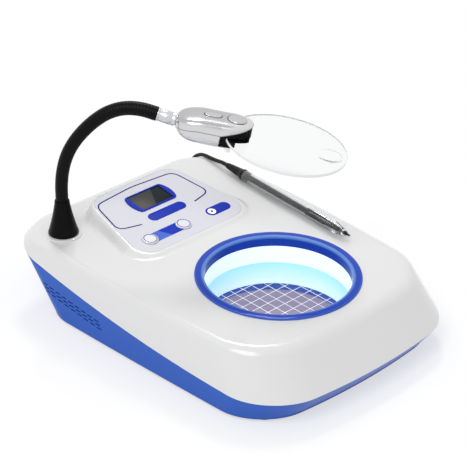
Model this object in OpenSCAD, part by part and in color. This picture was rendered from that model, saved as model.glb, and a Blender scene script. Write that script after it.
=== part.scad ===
// Bench colony counter: moulded housing, lit counting well, touch panel,
// lens on a bendable neck, and a counting pen on a cord.
// Millimetres. X to the user's right, Y to the back, Z up, table at Z = 0.
// The housing's two halves meet on a curved parting line. Both are lofted shells.

/* [Housing] */
// Half width at the parting line
half_w = 115; // [105:1:130]
// Half length at the parting line
half_l = 163; // [156:1:172]
// Corner radius at the front
front_r = 46; // [36:1:52]
// Corner radius at the back
back_r = 40; // [32:1:46]
// Parting line height at the middle of the side
seam_h = 30.9; // [29:0.5:34]
// How much the parting line climbs from the middle to one end
seam_rise = 17.4; // [15:0.5:19]
// How much the parting line curves
seam_curve = 9.6; // [8:0.5:11]
// Wall thickness of the mouldings
wall = 3; // [2.4:0.2:3.6]
// Floor thickness of the tray
floor_t = 2.5; // [2:0.25:3]
// Height of the tongue that locks the halves
lip_h = 3; // [2:0.5:4]
// Clearance round the tongue
lip_gap = 0.2; // [0.1:0.05:0.4]
// How far the tray's foot draws in at the sides
foot_side = 3; // [1:0.5:6]
// How far the tray's foot draws in at the front
foot_front = 15; // [8:1:20]
// How far the tray's foot draws in at the back
foot_back = 37; // [26:1:42]

/* [Deck] */
// Height of the deck at the centre of the well
deck_h = 62.1; // [60:0.5:66]
// Fall of the deck towards the user, in degrees
deck_slope = 1.8; // [0:0.2:2.4]
// How far the deck edge draws in at the sides
deck_side = 3; // [1:0.5:6]
// How far the deck edge draws in at the front
deck_front = 26; // [16:1:32]
// How far the deck edge draws in at the back
deck_back = 8; // [4:1:12]
// Radius of the deck edge
edge_r = 8; // [5:0.5:11]

/* [Well] */
// Well centre from the front end
well_in = 111; // [109:0.5:113]
// Inner radius of the well
well_r = 61; // [56:0.5:63]
// Outer radius of the trim ring
ring_r = 69; // [68:0.5:72]
// How far the trim ring stands on the deck
ring_h = 1.6; // [1:0.2:3]
// Depth of the trim ring's skirt
skirt_h = 8; // [6:0.5:10]
// Wall of the skirt and of the lit walls
tube_t = 2; // [1.6:0.2:2.4]
// Height of the white diffuser
diffuser_h = 16; // [12:0.5:18]
// Height of the lit lower wall
glow_h = 21; // [18:0.5:23]
// Thickness of the glass counting plate
glass_t = 2.5; // [2:0.25:3]
// Height of the dark ring under the glass
rest_h = 5; // [3:0.5:6]
// Inner radius of the lamp housing
lamp_r = 69.5; // [68:0.5:72]
// Wall of the lamp housing
lamp_t = 1.8; // [1.4:0.2:2.2]
// Number of lamps in the ring
lamps = 24; // [12:4:32]

/* [Panel] */
// Panel centre from the middle of the housing
panel_x = -3; // [-6:0.5:3]
// Front edge of the panel from the back end
panel_in = 124; // [121:0.5:126]
// Height of the panel at its front edge
panel_h = 67; // [66.5:0.25:69]
// Panel tilt in degrees
panel_tilt = 9.6; // [8:0.2:11]
// Panel width at the front
panel_wf = 121; // [112:1:124]
// Panel width at the back
panel_wb = 101; // [96:1:106]
// Panel length
panel_l = 90; // [86:1:93]
// Corner radius of the panel
panel_r = 17; // [12:1:20]
// Width of the sloped foot round the panel
plinth_w = 10; // [7:0.5:11]
// Thickness of the overlay sheet
sheet_t = 0.6; // [0.4:0.1:1]
// Display frame width
disp_w = 46.5; // [42:0.5:50]
// Display frame height
disp_d = 24; // [22:0.5:26]
// Dark window width
glass_w = 36; // [32:0.5:38]
// Dark window height
glass_d = 21; // [18:0.5:21.5]
// Display centre from the panel's front edge
disp_y = 62; // [60:0.5:64]
// Radius of the two keys
key_r = 7; // [6:0.25:7.5]
// Key travel
key_travel = 0.6; // [0.4:0.1:0.8]
// Distance between the keys
key_pitch = 38; // [34:0.5:40]
// Keys from the panel's front edge
key_y = 17; // [15:0.5:19]

/* [Neck] */
// Neck foot from the left side
neck_side = 29; // [26:0.5:33]
// Neck foot from the back end
neck_back = 45; // [43:0.5:50]
// Direction of the arm, in degrees clockwise from the right
neck_turn = 50; // [44:1:56]
// Radius of the cone's foot
cone_r = 13; // [11.5:0.5:14]
// Height of the cone
cone_h = 31; // [26:1:36]
// Radius of the neck
neck_r = 5; // [4.4:0.1:5.2]
// Radius of the neck's end sleeve
sleeve_r = 6; // [5.6:0.1:6.2]
// Length of one link
link_l = 14; // [12.5:0.5:15]
// Radius of the dome between links
ball_r = 5.4; // [5.3:0.05:6]
// Gap between ball and socket
ball_gap = 0.3; // [0.25:0.05:0.4]
// Length of the steel ferrule that shows
ferrule_l = 15; // [12:1:18]
// Radius of the ferrule
ferrule_r = 5.5; // [5:0.1:6]

/* [Lens head] */
// Length of the head
head_l = 64.5; // [60:0.5:68]
// Half width of the head
head_w = 17.5; // [16.5:0.5:19]
// Height of the top shell
cap_h = 9.6; // [8.5:0.2:11]
// Depth of the lower shell
sump_h = 13.5; // [12:0.5:14.5]
// Wall of the head shells
head_t = 1.6; // [1.2:0.1:1.8]
// Radius of the lens
lens_r = 51; // [48:0.5:53.5]
// Edge thickness of the lens
lens_edge = 2.4; // [2:0.1:2.8]
// Centre thickness of the lens
lens_mid = 6; // [5:0.25:8]
// Fall of the lens away from the neck, in degrees
lens_tilt = 11.6; // [10:0.2:13]
// Radius of the stronger spot lens
spot_r = 11; // [9:0.5:12]
// Length of the lamp button
pill_l = 14; // [12:0.5:15]
// Width of the lamp button
pill_w = 7; // [6:0.5:8]
// Lamp button travel
pill_travel = 0.8; // [0.6:0.1:1]

/* [Pen] */
// Length of the pen barrel
pen_l = 118; // [105:1:124]
// Radius of the pen barrel
pen_r = 5; // [4.4:0.1:5.2]
// Wall of the pen barrel
pen_t = 1; // [0.8:0.1:1.2]
// Tip travel
tip_travel = 1; // [0.6:0.1:1.2]
// Radius of the cord
cord_r = 1.75; // [1.5:0.05:1.9]

/* [Hidden] */
$fn = 64;
eps = 0.01;
well_y = half_l - well_in;
panel_y = half_l - panel_in;
neck_x = half_w - neck_side;
neck_y = half_l - neck_back;
corner_n = 9;
side_n = 8;
foot_h = 2.5;
foot_round = 3;
side_bow = 0.0144;
deck_bow = 0.063;
bow_at = 54;
front_bow = 0.074;
part_gap = 0.1;

// ---- outlines and lofts -------------------------------------------------
function arc_pts(c, r, a0, a1, n) =
    [for (i = [0:n]) let (a = a0 + (a1 - a0) * i / n)
        [c.x + r * cos(a), c.y + r * sin(a)]];
function between(a, b, n) = [for (i = [1:n - 1]) a + (b - a) * i / n];
function last(v) = v[len(v) - 1];
function flat(v) = [for (row = v) for (p = row) p];

// Four corner arcs joined by straight runs, anticlockwise from the right
function rounded(w, f, b, rf, rb) = let (
    c1 = arc_pts([w - rb, b - rb], rb, 0, 90, corner_n),
    c2 = arc_pts([rb - w, b - rb], rb, 90, 180, corner_n),
    c3 = arc_pts([rf - w, rf - f], rf, 180, 270, corner_n),
    c4 = arc_pts([w - rf, rf - f], rf, 270, 360, corner_n))
    concat(c1, between(last(c1), c2[0], side_n), c2,
           between(last(c2), c3[0], side_n), c3,
           between(last(c3), c4[0], side_n), c4,
           between(last(c4), c1[0], side_n));

// The sides and the front bulge a little
function bulged(v, w, f, bow) = [for (p = v)
    [p.x * (1 - bow * pow((p.y - bow_at) / f, 2)),
     p.y < 0 ? p.y * (1 - front_bow * pow(p.x / w, 2)) : p.y]];

function seam_z(y) = seam_h + seam_rise * (y / half_l)
    + seam_curve * pow(y / half_l, 2);
function deck_z(y) = deck_h + tan(deck_slope) * (y + well_y);

// Outline at the parting line, at the foot and at the deck edge, drawn in by d
function seam_line(d) = bulged(
    rounded(half_w - d, half_l - d, half_l - d, front_r - d, back_r - d),
    half_w, half_l, side_bow);
function foot_line(d) = bulged(
    rounded(half_w - foot_side - d, half_l - foot_front - d,
            half_l - foot_back - d, front_r - foot_round - d, back_r - foot_round - d),
    half_w, half_l, side_bow);
function deck_line(d) = bulged(
    rounded(half_w - deck_side - d, half_l - deck_front - d,
            half_l - deck_back - d, front_r - d, back_r - d),
    half_w, half_l, deck_bow);

// A ring of points on the side wall, h below the parting line, d inside it
function wall_ring(d, h) = let (s = seam_line(d), b = foot_line(d))
    [for (i = [0:len(s) - 1])
        let (z = seam_z(s[i].y), k = h / (z - foot_h),
             p = s[i] * (1 - k) + b[i] * k)
        [p.x, p.y, z - h]];
function flat_ring(v, z) = [for (p = v) [p.x, p.y, z]];
function deck_ring(d, h) = [for (p = deck_line(d)) [p.x, p.y, deck_z(p.y) - h]];
// Rounded edge of the deck, from the wall at k = 0 to the deck at k = 1
function edge_ring(k) = let (s = wall_ring(0, 0), t = deck_ring(0, 0),
                             u = deck_ring(edge_r, 0))
    [for (i = [0:len(s) - 1])
        let (run = s[i] - t[i], a = t[i] + run * min(0.8, edge_r / norm(run)))
        a * (1 - k) * (1 - k) + t[i] * 2 * k * (1 - k) + u[i] * k * k];

// One closed skin through a list of rings with the same number of points
module loft(rings) {
    n = len(rings[0]);
    m = len(rings);
    skin = [for (j = [0:m - 2]) for (i = [0:n - 1])
        let (a = j * n + i, b = j * n + (i + 1) % n)
        each [[a, a + n, b + n], [a, b + n, b]]];
    low = [[for (i = [0:n - 1]) i]];
    top = [[for (i = [n - 1:-1:0]) (m - 1) * n + i]];
    polyhedron(points = flat(rings), faces = concat(low, skin, top), convexity = 8);
}

// ---- places -------------------------------------------------------------
// Four ears hold the lamp housing up to bosses under the deck
ear_out = 6;
ear_r = 4;
ear_t = 2.5;
ear_z = -14.5;
module at_ears() {
    for (a = [45:90:315]) rotate([0, 0, a]) translate([lamp_r + lamp_t + ear_out, 0, 0]) children();
}
module at_well() {
    translate([0, -well_y, deck_h]) rotate([deck_slope, 0, 0]) children();
}
module at_panel() {
    translate([panel_x, panel_y, panel_h]) rotate([panel_tilt, 0, 0]) children();
}
module at_neck() {
    translate([-neck_x, neck_y, deck_z(neck_y)]) rotate([0, 0, -neck_turn]) children();
}
module both_sides() {
    children();
    mirror([1, 0, 0]) children();
}

// Screw posts, as distances in from the parting line's ends and sides
post_in = 17;
post_r = 4.6;
screw_r = 1.5;
post_x = half_w - post_in;
post_y = [66 - half_l, -10, half_l - 79];
function post_z(y) = seam_z(y) - 9;
module at_posts() {
    for (y = post_y) both_sides() translate([post_x, y, 0]) children();
}

// ---- tray ---------------------------------------------------------------
vent_n = 9;
vent_pitch = 8.2;
vent_y = 46;
vent_l = 4.6;
vent_w = 1.7;
vent_drop = 3.4;
function vent_z(y) = seam_z(y) - 13 - 0.045 * (y - vent_y);
module vents() {
    for (i = [0:vent_n - 1]) for (k = [0:2])
        let (y = vent_y + i * vent_pitch - k * 2.3)
        translate([half_w - 9, y - vent_l / 2, vent_z(vent_y + i * vent_pitch) - k * vent_drop])
            cube([14, vent_l, vent_w]);
}

// The back wall is flat and leans out, so its fittings sit on its own axes
rear_lean = atan(foot_back / (seam_z(half_l) - foot_h));
rear_mid = 0.52;
module at_rear(x, up) {
    k = (rear_mid * (seam_z(half_l) - foot_h) + up) / (seam_z(half_l) - foot_h);
    translate([x, half_l - foot_back * (1 - k), foot_h + k * (seam_z(half_l) - foot_h)])
        rotate([-90 - rear_lean, 0, 0]) children();
}
jack_x = 42;
power_x = -42;
switch_x = -8;
switch_w = 19;
switch_d = 13;
jack_r = 4;
rear_t = wall * cos(rear_lean);
nut_h = 2.2;
nut_r = jack_r + 2.6;

pad_r = 9;
pad_in = 26;
pad_sink = 1;
module at_pads() {
    for (y = [pad_in - (half_l - foot_front), half_l - foot_back - pad_in])
        both_sides() translate([half_w - foot_side - pad_in, y, 0]) children();
}

board_w = 140;
board_d = 62;
board_y = 31;
board_z = foot_h + floor_t + 8;
board_t = 1.6;
module at_board_posts() {
    for (x = [-board_w / 2 + 5, board_w / 2 - 5])
        for (y = [board_y + 5, board_y + board_d - 5])
            translate([x, y, 0]) children();
}

module base_tray() color("#3b6fd4") difference() {
    union() {
        loft([flat_ring(foot_line(2), foot_h), flat_ring(foot_line(0), foot_h + 2),
              wall_ring(0, 0), wall_ring(wall / 2 - lip_gap / 2, 0),
              wall_ring(wall / 2 - lip_gap / 2, lip_h + lip_gap),
              wall_ring(wall, lip_h + lip_gap),
              flat_ring(foot_line(wall), foot_h + floor_t)]);
        for (y = post_y) both_sides() translate([post_x, y, foot_h + 1])
            cylinder(r = post_r, h = post_z(y) - foot_h - 1);
        at_board_posts() translate([0, 0, foot_h + 1])
            cylinder(r = 3.5, h = board_z - foot_h - 1);
        for (x = [-70, 0, 70]) translate([x - 1, half_l - foot_back - 30, foot_h + 1])
            cube([2, 22, 12]);
    }
    both_sides() vents();
    at_posts() translate([0, 0, -eps]) cylinder(r = screw_r + 0.2, h = 90);
    at_posts() translate([0, 0, -eps]) cylinder(r = 3.2, h = foot_h + 6);
    at_pads() cylinder(r = pad_r + 0.1, h = foot_h + pad_sink);
    at_board_posts() translate([0, 0, foot_h + 3]) cylinder(r = 1.35, h = 20);
    at_rear(power_x, 0) cylinder(r = jack_r + 0.1, h = 30, center = true);
    at_rear(jack_x, 0) cylinder(r = jack_r + 0.1, h = 30, center = true);
    for (x = [power_x, jack_x]) at_rear(x, 0) translate([0, 0, -rear_t - nut_h - 2])
        cylinder(r = nut_r + 0.5, h = nut_h + 2);
    at_rear(switch_x, 0) cube([switch_w + 0.2, switch_d + 0.2, 30], center = true);
}

module feet() color("#303236") at_pads() {
    cylinder(r1 = pad_r - 1, r2 = pad_r, h = 1);
    translate([0, 0, 1]) cylinder(r = pad_r, h = foot_h + pad_sink - 1);
}

module cover_screws() color("#b8bcc2") for (y = post_y) both_sides()
    translate([post_x, y, foot_h + 6]) {
        translate([0, 0, -2.2]) cylinder(r = 2.8, h = 2.2);
        cylinder(r = screw_r, h = post_z(y) - foot_h - 6 + 8);
    }

// ---- cover --------------------------------------------------------------
pad_ring_r = cone_r + 2.5;
pad_ring_h = 1;
// Rounded trapezium of the panel, grown by d
panel_cf = [panel_wf / 2 - panel_r, panel_r];
panel_cb = [panel_wb / 2 - panel_r, panel_l - panel_r];
panel_a = atan((panel_cf.x - panel_cb.x) / (panel_cb.y - panel_cf.y));
function trapezium(d) = concat(
    arc_pts(panel_cb, panel_r + d, panel_a, 90, 8),
    arc_pts([-panel_cb.x, panel_cb.y], panel_r + d, 90, 180 - panel_a, 8),
    arc_pts([-panel_cf.x, panel_cf.y], panel_r + d, 180 - panel_a, 270, 8),
    arc_pts(panel_cf, panel_r + d, 270, 360 + panel_a, 8));
// A ring of the plinth: d outside the panel, k of the way up from deck to panel
function plinth_ring(d, k, drop) = [for (p = trapezium(d))
    let (y = panel_y + p.y * cos(panel_tilt),
         lo = deck_z(y) - drop,
         hi = panel_h + p.y * sin(panel_tilt))
    [panel_x + p.x, y, lo + (hi - lo) * k]];
function plinth_in(d, drop) = [for (p = trapezium(d))
    let (y = panel_y + p.y * cos(panel_tilt))
    [panel_x + p.x, y, panel_h + p.y * sin(panel_tilt) - drop]];

display_board_y = 8;
display_board_l = 68;
display_board_w = panel_wb - 7;
display_board_z = -9;
module at_panel_posts() {
    for (x = [-display_board_w / 2 + 3, display_board_w / 2 - 3])
        for (y = [display_board_y + 3, display_board_y + display_board_l - 3])
            translate([x, y, 0]) children();
}

module top_cover() color("#f2f3f4") difference() {
    union() {
        difference() {
            union() {
                loft([deck_ring(wall + edge_r, wall), deck_ring(wall, wall + edge_r * 0.6),
                      wall_ring(wall, -part_gap), wall_ring(wall, lip_h),
                      wall_ring(wall / 2 + lip_gap / 2, lip_h),
                      wall_ring(wall / 2 + lip_gap / 2, -part_gap), wall_ring(0, -part_gap),
                      edge_ring(0), edge_ring(0.25), edge_ring(0.5), edge_ring(0.75),
                      edge_ring(1)]);
                loft([plinth_ring(plinth_w, 0, 1.5), plinth_ring(plinth_w, 0.1, 1.5),
                      plinth_ring(plinth_w * 0.6, 0.28, 0), plinth_ring(plinth_w * 0.32, 0.68, 0),
                      plinth_ring(plinth_w * 0.12, 0.94, 0), plinth_ring(0.2, 1, 0)]);
            }
            loft([plinth_in(-wall / 2, 30), plinth_in(-wall / 2, wall)]);
        }
        for (y = post_y) both_sides() translate([post_x, y, post_z(y) + 0.1])
            cylinder(r = post_r, h = deck_z(y) - wall - post_z(y) + 1);
        translate([-neck_x, neck_y, deck_z(neck_y) - 2]) cylinder(r = pad_ring_r, h = 2 + pad_ring_h);
        at_panel() at_panel_posts() translate([0, 0, display_board_z])
            cylinder(r = 2.8, h = -display_board_z - wall + 1);
        at_well() at_ears() translate([0, 0, ear_z + ear_t])
            cylinder(r = 3.5, h = -ear_z - ear_t - wall + 1);
    }
    at_well() translate([0, 0, -12]) cylinder(r = well_r + tube_t + 0.8, h = 20);
    at_well() at_ears() translate([0, 0, ear_z + ear_t - eps]) cylinder(r = 1.2, h = 6);
    for (y = post_y) both_sides() translate([post_x, y, post_z(y)])
        cylinder(r = screw_r + 0.05, h = 14);
    translate([-neck_x, neck_y, deck_z(neck_y) - 8]) cylinder(r = stem_r + 0.2, h = 20);
    at_panel() translate([0, 0, -sheet_t]) linear_extrude(10) polygon(trapezium(-0.8));
    at_panel() translate([0, disp_y, 0])
        cube([disp_w - 2.4, disp_d - 2, 20], center = true);
    at_panel() at_keys() translate([0, 0, -sheet_t - 1.6]) cylinder(r = key_r + 0.3, h = 10);
    at_panel() at_keys() translate([0, 0, -10]) cylinder(r = 2.2, h = 20);
    at_panel() at_panel_posts() translate([0, 0, display_board_z - eps]) cylinder(r = 1.25, h = 5);
}

// ---- panel --------------------------------------------------------------
key_mid = -21.6;
module at_keys() {
    for (s = [-1, 1]) translate([key_mid + s * key_pitch / 2, key_y, 0]) children();
}
module stadium(l, w, h) linear_extrude(h) {
    square([l - w, w], center = true);
    translate([(l - w) / 2, 0]) circle(d = w);
    translate([(w - l) / 2, 0]) circle(d = w);
}
pill_y = 39.5;
name_l = 41;
name_w = 10.5;
probe_mid = 38;
probe_l = 26;
probe_w = 11;
film_t = 0.3;

module panel_overlay() color("#dcdcef") at_panel() difference() {
    translate([0, 0, -sheet_t]) linear_extrude(sheet_t) polygon(trapezium(-1));
    at_keys() translate([0, 0, -5]) cylinder(r = key_r + 0.3, h = 10);
    translate([0, disp_y, 0]) cube([disp_w - 2.4, disp_d - 2, 9], center = true);
}
band_w = key_r * 1.64;
module panel_films() color("#2b49c8") at_panel() {
    translate([-1, pill_y, 0]) stadium(name_l, name_w, film_t);
    translate([probe_mid, key_y, 0]) stadium(probe_l, probe_w, film_t);
    difference() {
        translate([key_mid - key_pitch / 2, key_y - band_w / 2, 0]) cube([key_pitch, band_w, film_t]);
        at_keys() translate([0, 0, -5]) cylinder(r = key_r + 0.3, h = 10);
    }
}

// Barrel-ended frame round the dark window
module display_frame() color("#2b49c8") at_panel() translate([0, disp_y, 0]) difference() {
    union() {
        linear_extrude(0.8) intersection() {
            square([disp_w, disp_d], center = true);
            translate([disp_w / 2 - 44, 0]) circle(r = 44);
            translate([44 - disp_w / 2, 0]) circle(r = 44);
            circle(r = disp_w / 2 + 2);
        }
        translate([0, 0, -2.4]) linear_extrude(3)
            square([disp_w - 2.8, disp_d - 2.4], center = true);
    }
    cube([glass_w, glass_d, 12], center = true);
}
module display_window() color("#3c3c40") at_panel() translate([0, disp_y, -1.4])
    linear_extrude(1.8) square([glass_w - 0.1, glass_d - 0.1], center = true);
module display_board() color("#2f7d4a") at_panel() difference() {
    translate([-display_board_w / 2, display_board_y, display_board_z - board_t])
        cube([display_board_w, display_board_l, board_t]);
    at_panel_posts() translate([0, 0, -20]) cylinder(r = 1.35, h = 20);
}
tact_h = 3.4;
module display_board_parts() color("#26282c") at_panel() {
    at_keys() translate([-3, -3, display_board_z]) cube([6, 6, tact_h]);
    translate([1 - glass_w / 2, disp_y + 1 - glass_d / 2, display_board_z])
        cube([glass_w - 2, glass_d - 2, -display_board_z - 1.5]);
    translate([16, 24, display_board_z - board_t - 3]) cube([18, 9, 3]);
}
key_up = 1.2;
key_deep = 1.4;
module key_body(side) at_panel() translate([key_mid + side * key_pitch / 2, key_y, 0]) {
    cylinder(r = key_r - 0.4, h = key_up);
    translate([0, 0, -key_deep]) cylinder(r = key_r, h = key_deep + key_up - 0.5);
    translate([0, 0, display_board_z + tact_h + key_travel + 0.02])
        cylinder(r = 1.8, h = -display_board_z - tact_h - key_travel - 1);
}
module start_key() color("#f4f5f8") key_body(-1);
module reset_key() color("#f4f5f8") key_body(1);

// ---- well ---------------------------------------------------------------
z_diff = -skirt_h;
z_glow = z_diff - diffuser_h;
z_glass = z_glow - glow_h;
z_rest = z_glass - glass_t;
z_floor = z_rest - rest_h;
module tube(r1, r2, z0, z1) translate([0, 0, z0]) difference() {
    cylinder(r = r2, h = z1 - z0, $fn = 128);
    translate([0, 0, -1]) cylinder(r = r1, h = z1 - z0 + 2, $fn = 128);
}
module well_ring() color("#2a50cf") at_well() rotate_extrude($fn = 128) polygon([
    [well_r, -skirt_h], [well_r + tube_t, -skirt_h], [well_r + tube_t, 0],
    [ring_r, 0], [ring_r, ring_h * 0.5], [ring_r - 0.9, ring_h],
    [well_r + 1.6, ring_h], [well_r + 0.5, ring_h - 0.5], [well_r, ring_h - 1.5]]);
module diffuser() color("#f6fcff") at_well() tube(well_r, well_r + tube_t, z_glow, z_diff);
module glow_wall() color("#9fe6f2") at_well() tube(well_r, well_r + tube_t, z_glass, z_glow);
module glass_plate() color("#cfe8f5", 0.5) at_well()
    translate([0, 0, z_rest]) cylinder(r = well_r + tube_t, h = glass_t, $fn = 128);
module rest_ring() color("#1d3f9e") at_well() tube(well_r - 0.5, well_r + tube_t, z_floor, z_rest);
back_t = 1;
module back_disc() color("#8f88a6") at_well()
    translate([0, 0, z_floor]) cylinder(r = well_r - 1, h = back_t, $fn = 128);
module lamp_housing() color("#e6e8ea") at_well() difference() {
    union() {
        tube(lamp_r, lamp_r + lamp_t, z_floor - lamp_t, -wall - 0.2);
        translate([0, 0, z_floor - lamp_t]) cylinder(r = lamp_r + lamp_t, h = lamp_t, $fn = 128);
        at_ears() translate([0, 0, ear_z]) {
            cylinder(r = ear_r, h = ear_t);
            translate([-ear_out - 0.5, -ear_r, 0]) cube([ear_out + 0.5, 2 * ear_r, ear_t]);
        }
    }
    at_ears() translate([0, 0, ear_z - 1]) cylinder(r = 1.6, h = ear_t + 2);
}
strip_t = 0.5;
strip_h = 18;
module lamp_strip() color("#f2f0e6") at_well()
    tube(lamp_r - strip_t, lamp_r, z_glow - strip_h / 2, z_glow + strip_h / 2);
module lamp_chips() color("#fff2a8") at_well() for (i = [0:lamps - 1])
    rotate([0, 0, 360 * i / lamps]) translate([lamp_r - strip_t - 1.6, -1.75, z_glow - 1.75])
        cube([1.55, 3.5, 3.5]);

// ---- inside -------------------------------------------------------------
module main_board() color("#2f7d4a") difference() {
    translate([-board_w / 2, board_y, board_z]) cube([board_w, board_d, board_t]);
    at_board_posts() translate([0, 0, board_z - 1]) cylinder(r = 1.6, h = 6);
}
module small_screw() {
    cylinder(r = 2.6, h = 1.8);
    translate([0, 0, -7]) cylinder(r = 1.2, h = 7.5);
}
module small_screws() color("#b8bcc2") {
    at_board_posts() translate([0, 0, board_z + board_t]) small_screw();
    at_well() at_ears() translate([0, 0, ear_z]) rotate([180, 0, 0]) small_screw();
}
module board_parts() color("#26282c") translate([0, board_y, board_z + board_t]) {
    translate([-52, 12, 0]) cube([26, 22, 18]);
    for (x = [-16, -4]) translate([x, 22, 0]) cylinder(r = 4, h = 12);
    translate([10, 18, 0]) cube([16, 16, 2.4]);
    translate([34, 10, 0]) cube([8, 24, 9]);
    translate([-20, 48, 0]) cube([36, 6, 7]);
}
module buzzer() color("#1c1d20") translate([54, board_y + 44, board_z + board_t]) difference() {
    cylinder(r = 6, h = 9);
    translate([0, 0, 6]) cylinder(r = 1.2, h = 5);
}

// ---- back fittings ------------------------------------------------------
module power_jack() color("#1c1d20") at_rear(power_x, 0) {
    difference() {
        union() {
            cylinder(r = jack_r + 2.2, h = 1.6);
            translate([0, 0, -14]) cylinder(r = jack_r, h = 15);
        }
        translate([0, 0, -9]) cylinder(r = 2.85, h = 12);
    }
    translate([0, 0, -10]) cylinder(r = 1.05, h = 9);
}
module probe_jack() color("#1c1d20") at_rear(jack_x, 0) difference() {
    union() {
        cylinder(r = jack_r + 1.6, h = 1.4);
        translate([0, 0, -15]) cylinder(r = jack_r, h = 16);
    }
    translate([0, 0, -13]) cylinder(r = 1.85, h = 20);
}
module jack_nuts() color("#b8bcc2") for (x = [power_x, jack_x])
    at_rear(x, 0) translate([0, 0, -rear_t - nut_h]) difference() {
        cylinder(r = nut_r, h = nut_h, $fn = 6);
        translate([0, 0, -1]) cylinder(r = jack_r + 0.05, h = nut_h + 2);
    }
rocker_w = 9.4;
rocker_l = 15.4;
rocker_tilt = 8;
rocker_z = -2;
rocker_pin = 1.2;
module switch_body() color("#1c1d20") at_rear(switch_x, 0) difference() {
    union() {
        translate([-switch_w / 2 - 1.5, -switch_d / 2 - 1.5, 0]) cube([switch_w + 3, switch_d + 3, 1.6]);
        translate([-switch_w / 2, -switch_d / 2, -15]) cube([switch_w, switch_d, 15.5]);
    }
    translate([-rocker_l / 2 - 0.4, -rocker_w / 2 - 0.3, -7]) cube([rocker_l + 0.8, rocker_w + 0.6, 20]);
    translate([0, 0, rocker_z]) rotate([90, 0, 0])
        cylinder(r = rocker_pin + 0.05, h = rocker_w + 2.6, center = true);
}
// A rocker with a shallow vee face, on a pin across the switch body
module switch_rocker() color("#c8202a") at_rear(switch_x, 0)
    translate([0, 0, rocker_z]) rotate([90, rocker_tilt, 0]) {
        linear_extrude(rocker_w, center = true) polygon([
            [-rocker_l / 2 + 0.4, 5.4], [0, 4.2], [rocker_l / 2 - 0.4, 5.4],
            [rocker_l / 2 - 0.6, 0.8], [2.5, -3.2], [-2.5, -3.2], [0.6 - rocker_l / 2, 0.8]]);
        cylinder(r = rocker_pin, h = rocker_w + 2.4, center = true);
    }

// ---- neck ---------------------------------------------------------------
// The bendable neck is a chain of short links. Each link ends in a dome, and
// the next link has a socket round the same point. kink is the turn there.
kink = [7, 8.5, 11.5, 10.5, 7.5, 9, 17, 20, 16, 0];
links = len(kink);
bore_r = 2.6;
stem_r = 4.8;
stem_l = 12;
root_l = 9;
function heading(i) = i == 0 ? 0 : heading(i - 1) + kink[i - 1];
function joint_at(i) = i == 0 ? [0, pad_ring_h + cone_h]
    : joint_at(i - 1) + link_l * [sin(heading(i - 1)), cos(heading(i - 1))];
module at_joint(i) {
    translate([joint_at(i).x, 0, joint_at(i).y]) rotate([0, heading(i), 0]) children();
}
// Half profile of a part-sphere of radius R round height z, from r0 to r1
function cap_line(R, z, r0, r1) = [for (k = [0:8])
    let (a = asin(r0 / R) + (asin(r1 / R) - asin(r0 / R)) * k / 8) [R * sin(a), z + R * cos(a)]];
module link_body(i, r, foot) color("#1b1c1e") at_neck() at_joint(i) rotate_extrude($fn = 48)
    polygon(concat(foot, cap_line(ball_r, link_l, r, bore_r)));
socket_line = cap_line(ball_r + ball_gap, 0, bore_r, neck_r);
module neck_root() link_body(0, neck_r, [[bore_r, -root_l], [neck_r, -root_l]]);
module neck_link(i) link_body(i, neck_r, socket_line);
module neck_sleeve() color("#141517") at_neck() at_joint(links - 1) rotate_extrude($fn = 48)
    polygon(concat(socket_line, [[neck_r + 0.4, socket_z], [sleeve_r, socket_z + 0.6],
        [sleeve_r, link_l], [bore_r, link_l]]));
socket_z = sqrt(pow(ball_r + ball_gap, 2) - pow(neck_r, 2));
module neck_cone() color("#1b1c1e") at_neck() translate([0, 0, pad_ring_h])
    rotate_extrude($fn = 96) polygon([
        [bore_r, -stem_l - pad_ring_h], [stem_r, -stem_l - pad_ring_h], [stem_r, 0], [cone_r - 0.8, 0],
        [cone_r, 0.8], [cone_r - 0.3, 3], [neck_r + 3, cone_h * 0.6],
        [neck_r + 1.2, cone_h * 0.9], [neck_r + 0.8, cone_h - 0.4], [neck_r + 0.5, cone_h],
        [neck_r + 0.05, cone_h], [neck_r + 0.05, cone_h - root_l], [bore_r, cone_h - root_l]]);
module neck_nut() color("#b8bcc2") at_neck() translate([0, 0, -wall - 3.5]) difference() {
    cylinder(r = 9, h = 3.2, $fn = 6);
    translate([0, 0, -1]) cylinder(r = stem_r + 0.05, h = 6);
}
module ferrule() color("#c9ccd0") at_neck() at_joint(links) difference() {
    union() {
        cylinder(r = ferrule_r, h = ferrule_l);
        cylinder(r = ferrule_r - 1, h = ferrule_l + 6);
    }
    translate([0, 0, -1]) cylinder(r = bore_r, h = ferrule_l + 9);
}

// ---- lens head ----------------------------------------------------------
// Along the head: x from its root, z from the end of the ferrule
head_at = joint_at(links) + ferrule_l * [sin(heading(links)), cos(heading(links))];
module at_head() at_neck() translate([head_at.x, 0, head_at.y]) children();
part_z = -2.7;
jaw_low = 15;
jaw_seam = 0.5;
sump_l = 50;
jaw_x = 37;
nose_fall = 0.16;
fall_at = 22;
part_fall = 0.2;
part_at = 20;
part_rise = 0.36;
jaw_at = 39;
belly_at = 24;
narrowing = 0.045;
function shape(u, p, q) = pow(max(0.01, 1 - pow(abs(2 * u - 1), p)), q);
function head_half(x) = (head_w - narrowing * x) * shape(x / head_l, 4, 0.5);
function head_top(x) = part_z + cap_h - nose_fall * max(0, x - fall_at);
function head_part(x) = part_z - part_fall * max(0, x - part_at) + part_rise * max(0, x - jaw_at);
function head_low(x) = sump_h * pow(max(0.02, 1 - pow(max(0, 1 - x / belly_at), 2)), 0.6);
function stations(x0, x1, n) = [for (i = [0:n]) x0 + (x1 - x0) * (1 - cos(180 * i / n)) / 2];
function boxy(c, e) = sign(c) * pow(abs(c), e);
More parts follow.
